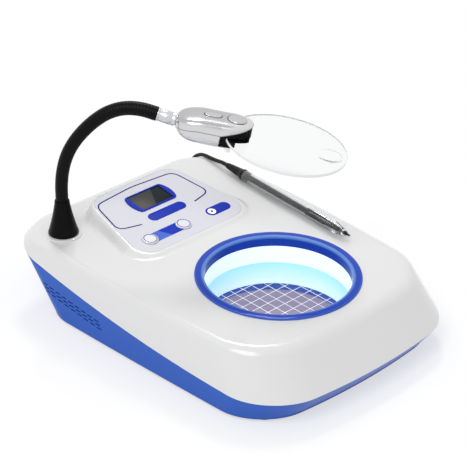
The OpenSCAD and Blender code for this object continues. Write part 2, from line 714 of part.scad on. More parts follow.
// Cross-sections, drawn in by d: an arch over the parting line, a trough under it
function arch(x, d, drop) = let (w = max(0.3, head_half(x) - d),
    h = max(0.3, (head_top(x) - head_part(x)) * shape(x / head_l, 8, 0.5) - d))
    [for (i = [0:16]) let (a = 180 * i / 16)
        [x, w * boxy(cos(a), 0.5), head_part(x) - drop + (h + drop) * boxy(sin(a), 0.45)]];
function trough(x, d, rise) = let (w = max(0.3, head_half(x) - 0.4 - d),
    h = max(0.3, head_low(x) - d))
    [for (i = [0:16]) let (a = 180 * i / 16)
        [x, -w * boxy(cos(a), 0.6), head_part(min(x, jaw_at)) + rise - (h + rise) * boxy(sin(a), 0.6)]];

pill_x = 31.5;
cap_x = 51.5;
cap_r = 8;
cap_sink = 0.7;
pill_gap = 0.3;
flange = 1.2;
flange_t = 0.8;
module at_top(x) translate([x, 0, head_top(x)]) rotate([0, atan(nose_fall), 0]) children();

module head_shell() color("#d4d6d9") at_head() difference() {
    loft([for (x = stations(0, head_l, 20)) arch(x, 0, 0)]);
    loft([for (x = stations(head_t + 0.6, head_l - head_t - 2, 14)) arch(x, head_t, 2)]);
    at_ferrule() cylinder(r = ferrule_r - 0.9, h = 12, center = true);
    at_top(pill_x) translate([0, 0, -4]) stadium(pill_l + 2 * pill_gap, pill_w + 2 * pill_gap, 8);
    at_top(cap_x) translate([0, 0, -cap_sink]) cylinder(r = cap_r + 0.1, h = 5);
}
module at_ferrule() rotate([0, heading(links), 0]) children();
module head_sump() color("#cfd1d5") at_head() difference() {
    loft([for (x = stations(0.4, sump_l, 18)) trough(x, 0, -0.1)]);
    loft([for (x = stations(head_t + 1.4, sump_l - head_t, 12)) trough(x, head_t, 2)]);
    at_ferrule() cylinder(r = ferrule_r - 0.9, h = 14, center = true);
    translate([jaw_x - jaw_seam, -2 * head_w, -jaw_low - jaw_seam]) rotate([0, lens_tilt, 0])
        cube([head_l, 4 * head_w, 2 * head_w]);
    at_lamps() cylinder(r = lamp_bulb + 0.3, h = 20, center = true);
}
lamp_bulb = 2.5;
lamp_x = 43;
lamp_y = 6;
lamp_low = 21.2;
lamp_turn = 160;
module at_lamps() for (y = [-lamp_y, lamp_y])
    translate([lamp_x, y, -lamp_low]) rotate([0, lamp_turn, 0]) children();
lamp_board = [20, 15, 1.2];
module head_lamps() color("#fdfbe8") at_head() {
    at_lamps() {
        translate([0, 0, -3.4]) cylinder(r = lamp_bulb, h = 4.9);
        translate([0, 0, 1.5]) sphere(r = lamp_bulb, $fn = 32);
        translate([0, 0, -4]) cylinder(r = lamp_bulb + 0.2, h = 0.7);
    }
    translate([13, -lamp_board.y / 2, -10.6]) rotate([0, 6, 0]) cube(lamp_board);
}
module lamp_button() color("#dcdee1") at_head() at_top(pill_x) {
    translate([0, 0, -head_t - 0.4]) stadium(pill_l, pill_w, head_t + 1);
    translate([0, 0, -head_t - 1.1]) stadium(pill_l + 2 * flange, pill_w + 2 * flange, flange_t);
}
module pivot_cap() color("#e4e6e8") at_head() at_top(cap_x) translate([0, 0, -cap_sink]) {
    cylinder(r = cap_r, h = 1.1);
    cylinder(r = cap_r - 0.7, h = 1.4);
}

// The lens is held at its edge by a black jaw under the nose
lens_grip = 23.4;
grip_z = -8.6;
lens_at = [head_l - lens_grip + lens_r * cos(lens_tilt), grip_z - lens_r * sin(lens_tilt)];
module at_lens() at_head() translate([lens_at.x, 0, lens_at.y]) rotate([0, lens_tilt, 0]) children();
function lens_z(r) = lens_edge / 2 + (lens_mid - lens_edge) / 2 * (1 - pow(r / lens_r, 2));
lens_n = 12;
spot_x = lens_r - spot_r - 4;
spot_bulge = 1.6;
spot_low = lens_z(spot_x - spot_r);
module lens() color("#e8f4fa", 0.4) at_lens() {
    rotate_extrude($fn = 160) polygon(concat(
        [for (i = [0:lens_n]) [lens_r * i / lens_n, lens_z(lens_r * i / lens_n)]],
        [for (i = [lens_n:-1:0]) [lens_r * i / lens_n, -lens_z(lens_r * i / lens_n)]]));
    translate([spot_x, 0, 0]) rotate_extrude($fn = 64) polygon(concat([[0, 0], [spot_r, 0]],
        [for (i = [6:-1:0]) let (r = spot_r * i / 6) [r, -spot_low - spot_bulge * (1 - pow(i / 6, 2))]]));
}
jaw_gap = 0.05;
jaw_top = jaw_x + (jaw_low + head_part(jaw_x)) * tan(lens_tilt);
jaw_nose = 8.4;
jaw_deep = 17.6;
module lens_jaw() color("#17181a") at_head() difference() {
    intersection() {
        translate([0, 2 * head_w, 0]) rotate([90, 0, 0]) linear_extrude(4 * head_w) polygon([
            [jaw_x, -jaw_low], [jaw_top, head_part(jaw_top) - 0.15],
            [head_l - 0.8, head_part(head_l - 0.8) - 0.15], [head_l - 1.6, -jaw_nose],
            [head_l - 4, -jaw_deep + 0.6], [jaw_x + 14, -jaw_deep]]);
        loft([for (x = stations(0.5, head_l - 0.5, 16)) [for (i = [0:16])
            let (w = head_half(x) - 0.3, a = 180 * i / 16)
            [x, w * boxy(cos(a), 0.5), i == 0 || i == 16 ? -20 : 10]]]);
    }
    at_lens_here() {
        rotate_extrude($fn = 128) polygon(concat(
            [for (i = [6:lens_n]) [lens_r * i / lens_n, lens_z(lens_r * i / lens_n) + jaw_gap]],
            [[lens_r + jaw_gap, lens_edge / 2 + jaw_gap], [lens_r + jaw_gap, -lens_edge / 2 - jaw_gap]],
            [for (i = [lens_n:-1:6]) [lens_r * i / lens_n, -lens_z(lens_r * i / lens_n) - jaw_gap]]));
        translate([-lens_r + 10, -30, -20]) cube([40, 60, 18.5 - lens_edge / 2]);
        translate([-lens_r + 11, 0, -20]) rotate([0, 0, 45]) cube([14, 14, 38 - lens_edge], center = true);
    }
}
module at_lens_here() translate([lens_at.x, 0, lens_at.y]) rotate([0, lens_tilt, 0]) children();

// ---- counting pen -------------------------------------------------------
pen_x = 84;
pen_y = 54;
pen_turn = 4;
nose_l = 18;
tail_l = 25;
tail_in = 6;
pen_lie = pen_r + 0.2;
module at_pen() {
    translate([pen_x, -pen_y, deck_z(-pen_y) + pen_lie / cos(deck_slope)])
        rotate([deck_slope - 90, 0, -pen_turn]) children();
}
tip_r = 1.1;
nose_at = 5;
nose_floor = 9;
module pen_barrel() color("#eef2f6", 0.5) at_pen() rotate_extrude($fn = 48) polygon([
    [tip_r + 0.05, nose_at], [tip_r + 0.9, nose_at], [pen_r - 1.6, nose_at + 6], [pen_r, nose_l],
    [pen_r, nose_l + pen_l], [pen_r - pen_t, nose_l + pen_l], [pen_r - pen_t, nose_l + 4],
    [tip_r + 1.4, nose_l + 2], [tip_r + 1.4, nose_floor], [tip_r + 0.05, nose_floor]]);
module pen_tip() color("#17181a") at_pen() {
    cylinder(r1 = 0.5, r2 = tip_r, h = 3);
    translate([0, 0, 3]) cylinder(r = tip_r, h = nose_floor);
    translate([0, 0, nose_floor + 0.05]) cylinder(r = tip_r + 1.1, h = 1.8);
}
module pen_core() color("#17181a") at_pen() {
    translate([0, 0, nose_floor + 3.4 + tip_travel])
        cylinder(r = 2.2, h = pen_l + nose_l - nose_floor - tail_in - 3.4 - tip_travel);
    for (i = [0:9]) translate([0, 0, nose_l + 12 + i * 2.4]) cylinder(r = 2.8, h = 1.2);
}
module pen_tail() color("#17181a") at_pen() translate([0, 0, nose_l + pen_l]) rotate_extrude($fn = 48)
    polygon([[0, -tail_in], [pen_r - pen_t - 0.05, -tail_in], [pen_r - pen_t - 0.05, 0],
        [pen_r, 0], [pen_r, 3],
             [pen_r - 0.8, 5], [cord_r + 0.9, tail_l - 1], [cord_r + 0.5, tail_l], [0, tail_l]]);

// ---- cord ---------------------------------------------------------------
// Route points chosen by hand: over the deck's back corner, down to the table,
// into a coil behind the housing, and from the coil to the plug
pen_route = [[95.2, 106.6, 72.3], [95.8, 114, 72.3], [96.5, 121, 71.2], [97.2, 129, 70.4],
    [98, 137, 69.9], [98.8, 145, 68], [99.4, 153, 63], [99.8, 160, 54], [100, 165, 44],
    [99.8, 169, 33], [99.2, 174, 20], [97.8, 180, 9.5], [95.4, 187, 3.6], [92.4, 195, 1.9],
    [90.6, 200, 1.9], [90.3, 205, 1.9]];
jack_route = [[42, 174.4, 11.9], [41.2, 177.8, 9.8], [40, 182, 8], [39, 188, 6.6],
    [38.7, 194, 5.9], [39, 199, 5.4], [39.5, 205, 5]];
function blend4(a, b, c, d, t) = 0.5 * (2 * b + (c - a) * t
    + (2 * a - 5 * b + 4 * c - d) * t * t + (3 * b - a - 3 * c + d) * t * t * t);
function smooth_route(v, n) = let (m = len(v)) concat(
    [for (i = [0:m - 2]) for (k = [0:n - 1])
        blend4(v[max(0, i - 1)], v[i], v[i + 1], v[min(m - 1, i + 2)], k / n)], [v[m - 1]]);
function unit(v) = v / norm(v);
// Eight points round each point of the route, square to it
function tube_rings(v, r) = [for (i = [0:len(v) - 1])
    let (t = unit(v[min(i + 1, len(v) - 1)] - v[max(i - 1, 0)]),
         a = unit(cross(t, [1, 0, 0])), b = cross(t, a))
    [for (k = [0:7]) v[i] + r * (cos(45 * k) * b - sin(45 * k) * a)]];
module pen_cord() color("#1c1d20") loft(tube_rings(smooth_route(pen_route, 3), cord_r));
module plug_cord() color("#1c1d20") loft(tube_rings(smooth_route(jack_route, 3), cord_r));
coil_at = [64, 205, 0.1];
coil_r = 28;
coil_wide = 4;
coil_high = 2;
module cord_coil() color("#1c1d20") translate(coil_at) rotate_extrude($fn = 64)
    translate([coil_r - coil_wide * 2 * cord_r, 0])
    square([coil_wide * 2 * cord_r, coil_high * 2 * cord_r]);
module pen_plug() color("#17181a") at_rear(jack_x, 0) rotate_extrude($fn = 32) polygon([
    [0, -11], [1.2, -11], [1.75, -9.8], [1.75, 1.6], [4.2, 1.6], [4.4, 3], [4.2, 20],
    [cord_r + 1, 23], [cord_r + 0.6, 35], [0, 35]]);

base_tray();
top_cover();
feet();
cover_screws();
panel_overlay();
panel_films();
display_frame();
display_window();
display_board();
display_board_parts();
start_key();
reset_key();
well_ring();
diffuser();
glow_wall();
glass_plate();
rest_ring();
back_disc();
lamp_housing();
lamp_strip();
lamp_chips();
main_board();
small_screws();
board_parts();
buzzer();
power_jack();
probe_jack();
jack_nuts();
switch_body();
switch_rocker();
neck_cone();
neck_nut();
neck_root();
neck_link(1);  // neck_link_1
neck_link(2);  // neck_link_2
neck_link(3);  // neck_link_3
neck_link(4);  // neck_link_4
neck_link(5);  // neck_link_5
neck_link(6);  // neck_link_6
neck_link(7);  // neck_link_7
neck_link(8);  // neck_link_8
neck_sleeve();
ferrule();
head_shell();
head_sump();
head_lamps();
lamp_button();
pivot_cap();
lens_jaw();
lens();
pen_barrel();
pen_tip();
pen_core();
pen_tail();
pen_cord();
cord_coil();
plug_cord();
pen_plug();
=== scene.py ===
# %% [markdown]
# # A bench colony counter, dressed over its CAD frame
# The frame gives every solid of the counter at rest, in metres. This file
# makes the looks: smooth moulded shells, the lit well, the printed panel, the
# bendable neck, the lens head and the counting pen with its cord.

# %% Load the frame
import math
import bmesh
import bpy
from mathutils import Matrix, Vector


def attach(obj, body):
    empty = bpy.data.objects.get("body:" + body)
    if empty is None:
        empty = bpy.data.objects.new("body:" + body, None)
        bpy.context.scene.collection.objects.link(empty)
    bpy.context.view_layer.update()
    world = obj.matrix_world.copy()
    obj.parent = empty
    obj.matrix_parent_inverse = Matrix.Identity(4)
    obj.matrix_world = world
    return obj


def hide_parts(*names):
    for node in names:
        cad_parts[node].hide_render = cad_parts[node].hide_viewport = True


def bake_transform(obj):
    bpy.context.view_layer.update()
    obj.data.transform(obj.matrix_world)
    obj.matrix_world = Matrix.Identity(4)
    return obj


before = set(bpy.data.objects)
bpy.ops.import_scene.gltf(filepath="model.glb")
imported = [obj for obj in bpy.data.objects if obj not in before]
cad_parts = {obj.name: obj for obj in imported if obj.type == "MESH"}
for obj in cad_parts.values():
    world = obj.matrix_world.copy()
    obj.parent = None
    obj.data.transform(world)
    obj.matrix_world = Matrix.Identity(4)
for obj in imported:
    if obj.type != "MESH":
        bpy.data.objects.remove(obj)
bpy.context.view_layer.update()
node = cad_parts
MM = 0.001

# %% [markdown]
# ## Places
# Each group of pieces was designed in a frame of its own: the deck around the
# well, the sloped panel, the arm, the pen. A matrix for each one turns plain
# drawing sizes in millimetres into the counter's frame.

# %% Frames of the main groups
def turned(axis, degrees):
    return Matrix.Rotation(math.radians(degrees), 4, axis)

def moved(x, y, z):
    return Matrix.Translation(Vector((x, y, z)))

def sind(degrees):
    return math.sin(math.radians(degrees))

def cosd(degrees):
    return math.cos(math.radians(degrees))

deck_h, deck_slope, well_y = 62.1, 1.8, 52.0

def deck_z(y):
    """Height of the deck at y, in mm."""
    return deck_h + math.tan(math.radians(deck_slope)) * (y + well_y)

panel_x, panel_y, panel_h, panel_tilt = -3.0, 39.0, 67.0, 9.6
neck_x, neck_y, neck_turn = 86.0, 118.0, 50.0
at_well = moved(0, -well_y, deck_h) @ turned("X", deck_slope)
at_panel = moved(panel_x, panel_y, panel_h) @ turned("X", panel_tilt)
at_neck = moved(-neck_x, neck_y, deck_z(neck_y)) @ turned("Z", -neck_turn)

# %% [markdown]
# ## Camera
# A long lens from the front left, a little under thirty degrees up, keeps the
# deck's long edges almost parallel, as product views do. The camera is built
# from its own axes: turn to the bearing, tip down, then a trace of roll.

# %% Camera
def added(name, data):
    """A new object of the scene that holds a mesh, a lamp or a camera."""
    o = bpy.data.objects.new(name, data)
    bpy.context.scene.collection.objects.link(o)
    return o

def add_camera(eye, bearing, down, roll, lens):
    data = bpy.data.cameras.new("camera")
    data.lens, data.sensor_width, data.clip_end = lens, 36.0, 30.0
    camera = added("camera", data)
    camera.matrix_world = (Matrix.Translation(Vector(eye)) @ turned("Z", -bearing)
                           @ turned("X", 90 - down) @ turned("Z", roll))
    bpy.context.scene.camera = camera
    return camera

camera = add_camera((-0.9773, -1.0044, 0.8500), 44.183, 28.751, -0.125, 148.67)
print("camera", [round(v, 3) for v in camera.location], "lens", camera.data.lens)

# %% [markdown]
# ## Shader sums written as Python
# A Math node for each sum makes node trees long to write. One small class
# wraps a socket, so 1 - mask * 0.5 adds its own nodes. Finish wraps one
# Principled material: constants are set on it, a grain is added, and varying
# values are fed in. Growth, further down, does the same for Geometry Nodes.

# %% Value, Tree and Finish
def plug(tree, value, socket):
    """Link a Value to a socket, or set a plain number or colour on it."""
    if isinstance(value, Value):
        tree.links.new(value.out, socket)
    else:
        socket.default_value = value


class Value:
    """One number in a node tree; + - * / add Math nodes."""
    def __init__(self, tree, out):
        self.tree, self.out = tree, out

    def math(self, operation, *terms):
        n = self.tree.nodes.new("ShaderNodeMath")
        n.operation = operation
        for socket, term in zip(n.inputs, terms):
            plug(self.tree, term, socket)
        return Value(self.tree, n.outputs[0])

    def __add__(self, o): return self.math("ADD", self, o)
    def __radd__(self, o): return self.math("ADD", o, self)
    def __sub__(self, o): return self.math("SUBTRACT", self, o)
    def __rsub__(self, o): return self.math("SUBTRACT", o, self)
    def __mul__(self, o): return self.math("MULTIPLY", self, o)
    def __rmul__(self, o): return self.math("MULTIPLY", o, self)
    def __truediv__(self, o): return self.math("DIVIDE", self, o)
    def least(self, o): return self.math("MINIMUM", self, o)
    def most(self, o): return self.math("MAXIMUM", self, o)
    def clipped(self): return self.least(1.0).most(0.0)
    def above(self, o): return self.math("GREATER_THAN", self, o)
    def below(self, o): return self.math("LESS_THAN", self, o)
    def size(self): return self.math("ABSOLUTE", self)
    def root(self): return self.math("SQRT", self)
    def hypot(self, o): return (self * self + o * o).root()


class Tree:
    """A node tree; node() adds any node, its settings first, then its sockets."""
    prefix = ""

    def node(self, kind, settings=None, inputs=None, output=0):
        n = self.tree.nodes.new(self.prefix + kind)
        for key, value in (settings or {}).items():
            setattr(n, key, value)
        for key, value in (inputs or {}).items():
            plug(self.tree, value, n.inputs[key])
        return Value(self.tree, n.outputs[output])


class Finish(Tree):
    """A Principled material for one finish of the counter."""
    prefix = "ShaderNode"

    def __init__(self, name, color, roughness, grain=None, **constants):
        self.material = bpy.data.materials.new(name)
        self.material.use_nodes = True
        self.tree = self.material.node_tree
        self.shader = self.tree.nodes["Principled BSDF"]
        self.set("Base Color", (*color, 1.0))
        self.set("Roughness", roughness)
        for key, value in constants.items():
            self.set(key.replace("_", " ").title().replace("Ior", "IOR"), value)
        if grain:
            self.grained(*grain)
        print("finish:", name)

    def set(self, socket, value):
        self.shader.inputs[socket].default_value = value

    def feed(self, socket, value):
        self.tree.links.new(value.out, self.shader.inputs[socket])
        return self

    def place(self):
        return self.node("TexCoord", output="Object")

    def axes(self, matrix=None):
        """X, Y and Z in mm, in a group's own frame where matrix is given."""
        where = self.node("VectorMath", {"operation": "SCALE"}, {0: self.place(), "Scale": 1 / MM})
        if matrix is not None:
            back = matrix.inverted()
            where = self.node("Mapping", {"vector_type": "POINT"}, {
                "Vector": where, "Location": back.to_translation(), "Rotation": back.to_euler()})
        return [self.node("SeparateXYZ", None, {"Vector": where}, output=axis) for axis in "XYZ"]

    def noise(self, grain_mm, detail=3.0, rough=0.6):
        return self.node("TexNoise", None, {"Vector": self.place(), "Scale": 1 / (grain_mm * MM),
                                            "Detail": detail, "Roughness": rough})

    def blend(self, amount, first, second):
        """Colour from first at 0 to second at 1."""
        n = self.tree.nodes.new("ShaderNodeMix")
        n.data_type, n.clamp_factor = "RGBA", True
        sockets = [s for s in n.inputs if s.enabled]
        for socket, value in zip(sockets, (amount, first, second)):
            plug(self.tree, (*value, 1.0) if isinstance(value, tuple) else value, socket)
        return Value(self.tree, next(s for s in n.outputs if s.enabled))

    def bump(self, height, depth_mm, strength=0.5):
        normal = self.node("Bump", None, {"Height": height, "Strength": strength,
                                          "Distance": depth_mm * MM})
        return self.feed("Normal", normal)

    def grained(self, grain_mm, depth_mm, spread=0.08, strength=0.5):
        """Fine grain: it lifts the surface a little and varies the gloss."""
        grain = self.noise(grain_mm)
        patches = self.noise(grain_mm * 40, detail=2.0)
        base = self.shader.inputs["Roughness"].default_value
        self.feed("Roughness", base + (grain - 0.5) * spread + (patches - 0.5) * spread)
        return self.bump(grain, depth_mm, strength)


def wear(finish, *objects):
    """Give objects one finish on all their faces."""
    for o in objects:
        o.data.materials.clear()
        o.data.materials.append(finish.material)

# %% [markdown]
# ## Finishes of the counter
# Moulded ABS has a fine spark texture under a soft gloss. Plated parts are
# smooth metal with faint flow marks, and the feet and the cord are soft rubber
# with a dull bloom.

# %% Plastics
# A grain is its size and its depth in mm, its spread of gloss, its strength.
white_plastic = Finish("white_plastic", (0.755, 0.755, 0.758), 0.17, (0.45, 0.012, 0.05, 0.25),
                       coat_weight=0.15, coat_roughness=0.08)
blue_plastic = Finish("blue_plastic", (0.043, 0.13, 0.53), 0.3, (0.45, 0.012, 0.06, 0.25),
                      specular_ior_level=0.05)
ring_blue = Finish("ring_blue", (0.014, 0.058, 0.46), 0.16, (0.9, 0.006, 0.03, 0.15),
                   specular_ior_level=0.12)
black_plastic = Finish("black_plastic", (0.0025, 0.0025, 0.0026), 0.22, (0.4, 0.01, 0.08, 0.3),
                       specular_ior_level=0.08)
key_plastic = Finish("key_plastic", (0.71, 0.71, 0.77), 0.3, (0.4, 0.008, 0.05, 0.2), coat_weight=0.1)
red_plastic = Finish("red_plastic", (0.55, 0.015, 0.012), 0.3, (0.5, 0.008, 0.06, 0.2), coat_weight=0.3)

# %% Rubber and metal
foot_rubber = Finish("foot_rubber", (0.02, 0.02, 0.022), 0.75, (0.5, 0.03, 0.15, 0.6))
cord_black = Finish("cord_black", (0.008, 0.008, 0.0085), 0.45, (0.5, 0.02, 0.12, 0.4),
                    specular_ior_level=0.2)
silver_plate = Finish("silver_plate", (0.66, 0.66, 0.67), 0.22, (1.6, 0.01, 0.07, 0.2), metallic=1.0)
bright_steel = Finish("bright_steel", (0.62, 0.63, 0.65), 0.24, (0.35, 0.01, 0.12, 0.3), metallic=1.0)

# %% Boards and inner pieces
circuit_green = Finish("circuit_green", (0.02, 0.16, 0.06), 0.35, (1.2, 0.02, 0.1, 0.4), coat_weight=0.4)
lamp_case = Finish("lamp_case", (0.72, 0.73, 0.74), 0.5, (0.6, 0.02, 0.1))
lamp_clear = Finish("lamp_clear", (0.93, 0.92, 0.85), 0.15, (0.8, 0.01, 0.05), coat_weight=0.6,
                    emission_color=(1.0, 0.97, 0.88, 1.0), emission_strength=0.15)

# %% [markdown]
# ## Small mesh tools
# Most pieces here are closed skins: rings of points joined one to the next,
# profiles turned round an axis, or outlines given a thickness. Each helper
# takes millimetres in a group's own frame and a matrix that places it, and
# leaves the object itself at the origin.

# %% Turn points and faces into a piece
def piece_from(name, points, faces, finish, matrix=Matrix(), sharp=32.0):
    """A closed mesh from points in mm; normals are made to face outwards."""
    mesh = bpy.data.meshes.new(name)
    mesh.from_pydata([(matrix @ Vector(p)) * MM for p in points], [], faces)
    bm = bmesh.new()
    bm.from_mesh(mesh)
    bmesh.ops.remove_doubles(bm, verts=bm.verts, dist=1e-7)
    bmesh.ops.delete(bm, geom=[e for e in bm.edges if e.is_wire], context="EDGES")
    bmesh.ops.recalc_face_normals(bm, faces=bm.faces)
    bm.to_mesh(mesh)
    bm.free()
    mesh.shade_smooth()
    mesh.set_sharp_from_angle(angle=math.radians(sharp))
    mesh.materials.append(finish.material)
    return added(name, mesh)

def skin(rings, closed=False):
    """Points and faces of a skin through rings of equal length."""
    n, points, faces = len(rings[0]), [p for ring in rings for p in ring], []
    last = len(rings) if closed else len(rings) - 1
    for j in range(last):
        a, b = j * n, (j + 1) % len(rings) * n
        faces += [(a + i, a + (i + 1) % n, b + (i + 1) % n, b + i) for i in range(n)]
    if not closed:
        faces += [tuple(range(n)), tuple(range((len(rings) - 1) * n, len(rings) * n))]
    return points, faces

def lathe(name, profile, finish, matrix=Matrix(), steps=160, sharp=32.0):
    """A closed profile of (radius, height) turned once round Z."""
    rings = []
    for k in range(steps):
        c, s = math.cos(math.tau * k / steps), math.sin(math.tau * k / steps)
        rings.append([(r * c, r * s, z) for r, z in profile])
    return piece_from(name, *skin(rings, closed=True), finish, matrix, sharp)

def prism(name, outline, low, high, finish, matrix=Matrix(), edge=0.0):
    """A flat outline with a thickness; edge rounds its upper rim in mm."""
    n = len(outline)
    def drawn_in(d):
        out = []
        for i, (x, y) in enumerate(outline):
            (ax, ay), (bx, by) = outline[i - 1], outline[(i + 1) % n]
            t = Vector((bx - ax, by - ay)).normalized()
            out.append((x - t.y * d, y + t.x * d))
        return out
    rings = [[(x, y, low) for x, y in outline]]
    for k in range(5 if edge else 1):
        a = math.radians(22.5 * k)
        d = edge * (1 - math.cos(a))
        rings.append([(x, y, high - edge + edge * math.sin(a)) for x, y in drawn_in(d)])
    return piece_from(name, *skin(rings), finish, matrix)

# %% Cut, join and finish
def modified(o, steps):
    """Run modifiers and keep the plain mesh that they give."""
    for kind, settings in steps:
        m = o.modifiers.new(kind.lower(), kind)
        for key, value in settings.items():
            setattr(m, key, value)
    bpy.context.view_layer.update()
    graph = bpy.context.evaluated_depsgraph_get()
    mesh = bpy.data.meshes.new_from_object(o.evaluated_get(graph), preserve_all_data_layers=True,
                                           depsgraph=graph)
    o.modifiers.clear()
    o.data = mesh
    return o

def combine(o, tools, operation="DIFFERENCE"):
    """Exact boolean with each tool in turn; the tools are then removed."""
    for tool in tools:
        modified(o, [("BOOLEAN", {"operation": operation, "object": tool, "solver": "EXACT"})])
        bpy.data.objects.remove(tool)
    return o

def healed(o):
    """Close the slivers that a cut can leave at a seam."""
    bm = bmesh.new()
    bm.from_mesh(o.data)
    bmesh.ops.remove_doubles(bm, verts=bm.verts, dist=0.004 * MM)
    bmesh.ops.holes_fill(bm, edges=[e for e in bm.edges if e.is_boundary], sides=4)
    bmesh.ops.recalc_face_normals(bm, faces=bm.faces)
    bm.to_mesh(o.data)
    bm.free()
    return o

def settle_shading(o, sharp=32.0):
    """Flat faces keep flat light where they meet small curved ones."""
    o.data.shade_smooth()
    o.data.set_sharp_from_angle(angle=math.radians(sharp))
    return modified(o, [("WEIGHTED_NORMAL", {"mode": "FACE_AREA", "weight": 80, "keep_sharp": True})])

def keep(o, body, slot, *stands_for):
    """Say which body carries a piece and what it stands for; its finish slot is not used."""
    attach(o, body)
    if stands_for:
        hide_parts(*stands_for)
    print(o.name + ":", len(o.data.polygons), "faces, on", body)
    return o

# %% [markdown]
# ## Geometry Nodes for what repeats
# Slots and grid lines are the same shape many times. A node tree places them
# by a rule, with named inputs for the sizes, and the result is turned into a
# plain mesh that later steps can cut with or print with.

# %% A node tree with named inputs
class Growth(Tree):
    """A Geometry Nodes tree; Value's sums work in it as in a shader."""
    def __init__(self, name, **sizes):
        self.tree = bpy.data.node_groups.new(name, "GeometryNodeTree")
        self.tree.interface.new_socket("Geometry", in_out="OUTPUT", socket_type="NodeSocketGeometry")
        self.sizes, self.sockets = sizes, {}
        for key in sizes:
            s = self.tree.interface.new_socket(key, in_out="INPUT", socket_type="NodeSocketFloat")
            self.sockets[key] = s.identifier
        self.start = self.tree.nodes.new("NodeGroupInput")
        self.end = self.tree.nodes.new("NodeGroupOutput")

    def given(self, key):
        return Value(self.tree, self.start.outputs[key])

    def vector(self, x, y, z):
        return self.node("ShaderNodeCombineXYZ", None, {"X": x, "Y": y, "Z": z})

    def grown(self, name, shape, finish):
        """Realize, give the finish, and return the plain mesh piece."""
        real = self.node("GeometryNodeRealizeInstances", None, {"Geometry": shape})
        made = self.node("GeometryNodeSetMaterial", None, {"Geometry": real,
                                                           "Material": finish.material})
        self.tree.links.new(made.out, self.end.inputs[0])
        o = added(name, bpy.data.meshes.new(name))
        m = o.modifiers.new("grow", "NODES")
        m.node_group = self.tree
        for key, value in self.sizes.items():
            m[self.sockets[key]] = float(value)
        bpy.context.view_layer.update()
        seen = o.evaluated_get(bpy.context.evaluated_depsgraph_get())
        mesh = bpy.data.meshes.new_from_object(seen)
        o.modifiers.clear()
        o.data = mesh
        print(name, "grown:", len(mesh.polygons), "faces")
        return o

# %% [markdown]
# ## Floor and light
# A product on white needs a floor that is white to the eye but still takes
# the object's shadow. About six tenths of its white is emission that only
# camera, mirror and glass rays see, and the rest is a plain lit surface. A big
# soft key lamp on the left gives the deck, the slope and the front their
# different greys, a small one behind on the right draws the far edges, and
# the world fills the rest evenly.

# %% Floor
def seen_rays(tree):
    """1 for rays from the camera, from mirrors and through glass."""
    path = tree.nodes.new("ShaderNodeLightPath")
    total = Value(tree, path.outputs["Is Camera Ray"])
    for name in ("Is Glossy Ray", "Is Transmission Ray"):
        total = total.most(Value(tree, path.outputs[name]))
    return total

def add_floor(size, share):
    mesh = bpy.data.meshes.new("floor")
    mesh.from_pydata([(-size, -size, 0), (size, -size, 0), (size, size, 0), (-size, size, 0)],
                     [], [(0, 1, 2, 3)])
    white = Finish("floor_white", (1.0, 1.0, 1.0), 0.9, specular_ior_level=0.0)
    nodes, links = white.tree.nodes, white.tree.links
    emission, mix = nodes.new("ShaderNodeEmission"), nodes.new("ShaderNodeMixShader")
    links.new((seen_rays(white.tree) * share).out, mix.inputs["Fac"])
    links.new(white.shader.outputs[0], mix.inputs[1])
    links.new(emission.outputs[0], mix.inputs[2])
    links.new(mix.outputs[0], nodes["Material Output"].inputs["Surface"])
    mesh.materials.append(white.material)
    floor = added("floor", mesh)

add_floor(size=6.0, share=0.62)

# %% World and lamps
def add_world(fill):
    world = bpy.data.worlds.new("studio")
    world.use_nodes = True
    bpy.context.scene.world = world
    background = world.node_tree.nodes["Background"].inputs
    strength = seen_rays(world.node_tree) * (1.0 - fill) + fill
    world.node_tree.links.new(strength.out, background["Strength"])
    background["Color"].default_value = (1, 1, 1, 1)

def add_lamp(name, place, size, power):
    """A round soft lamp that looks at the counter's middle."""
    data = bpy.data.lights.new(name, "AREA")
    data.shape, data.size, data.energy = "DISK", size, power
    lamp = added(name, data)
    lamp.location = place
    aim = Vector((0, 0, 0.05)) - Vector(place)
    lamp.rotation_euler = aim.to_track_quat("-Z", "Y").to_euler()
    print(name, "lamp:", power, "W")

bpy.context.scene.view_settings.view_transform = "Standard"
add_world(fill=0.58)
add_lamp("key", (-1.5, -0.6, 2.1), size=1.4, power=24.0)
add_lamp("edge", (0.85, 0.90, 1.75), size=0.45, power=12.0)

# %% [markdown]
# ## The pen's cord
# A thin flexible lead runs from the pen's tail over the deck's back corner,
# down to the table and into a small neat coil behind the housing, then into
# the jack. The route is one smooth curve; the coil has three turns on the
# table and two and a half on top of them.

# %% Smooth curves, tubes and bends
def smoothed(points, n):
    """Catmull-Rom curve: n steps between each two points."""
    out, last = [], len(points) - 1
    for i in range(last):
        a, b, c, d = (Vector(points[max(0, min(last, i + k))]) for k in (-1, 0, 1, 2))
        for k in range(n):
            t = k / n
            out.append(0.5 * (2 * b + (c - a) * t + (2 * a - 5 * b + 4 * c - d) * t * t
                              + (3 * b - a - 3 * c + d) * t ** 3))
    return out + [Vector(points[-1])]

def tube(name, path, radius, finish, sides=14):
    """A round tube along a path in mm; radius may be a list, one a point."""
    rings, side = [], Vector((1, 0, 0))
    for i, p in enumerate(path):
        t = (path[min(i + 1, len(path) - 1)] - path[max(i - 1, 0)]).normalized()
        side = (side - t * side.dot(t)).normalized()
        up = t.cross(side)
        r = radius[i] if isinstance(radius, list) else radius
        rings.append([p + r * (math.cos(math.tau * k / sides) * side
                               + math.sin(math.tau * k / sides) * up) for k in range(sides)])
    return piece_from(name, *skin(rings), finish, sharp=50.0)

def bent(a, b, c, t):
    """The point at t on the soft bend from a to c that aims at b."""
    return a * (1 - t) ** 2 + b * 2 * t * (1 - t) + c * t * t

def length_of(path):
    return sum((b - a).length for a, b in zip(path, path[1:]))

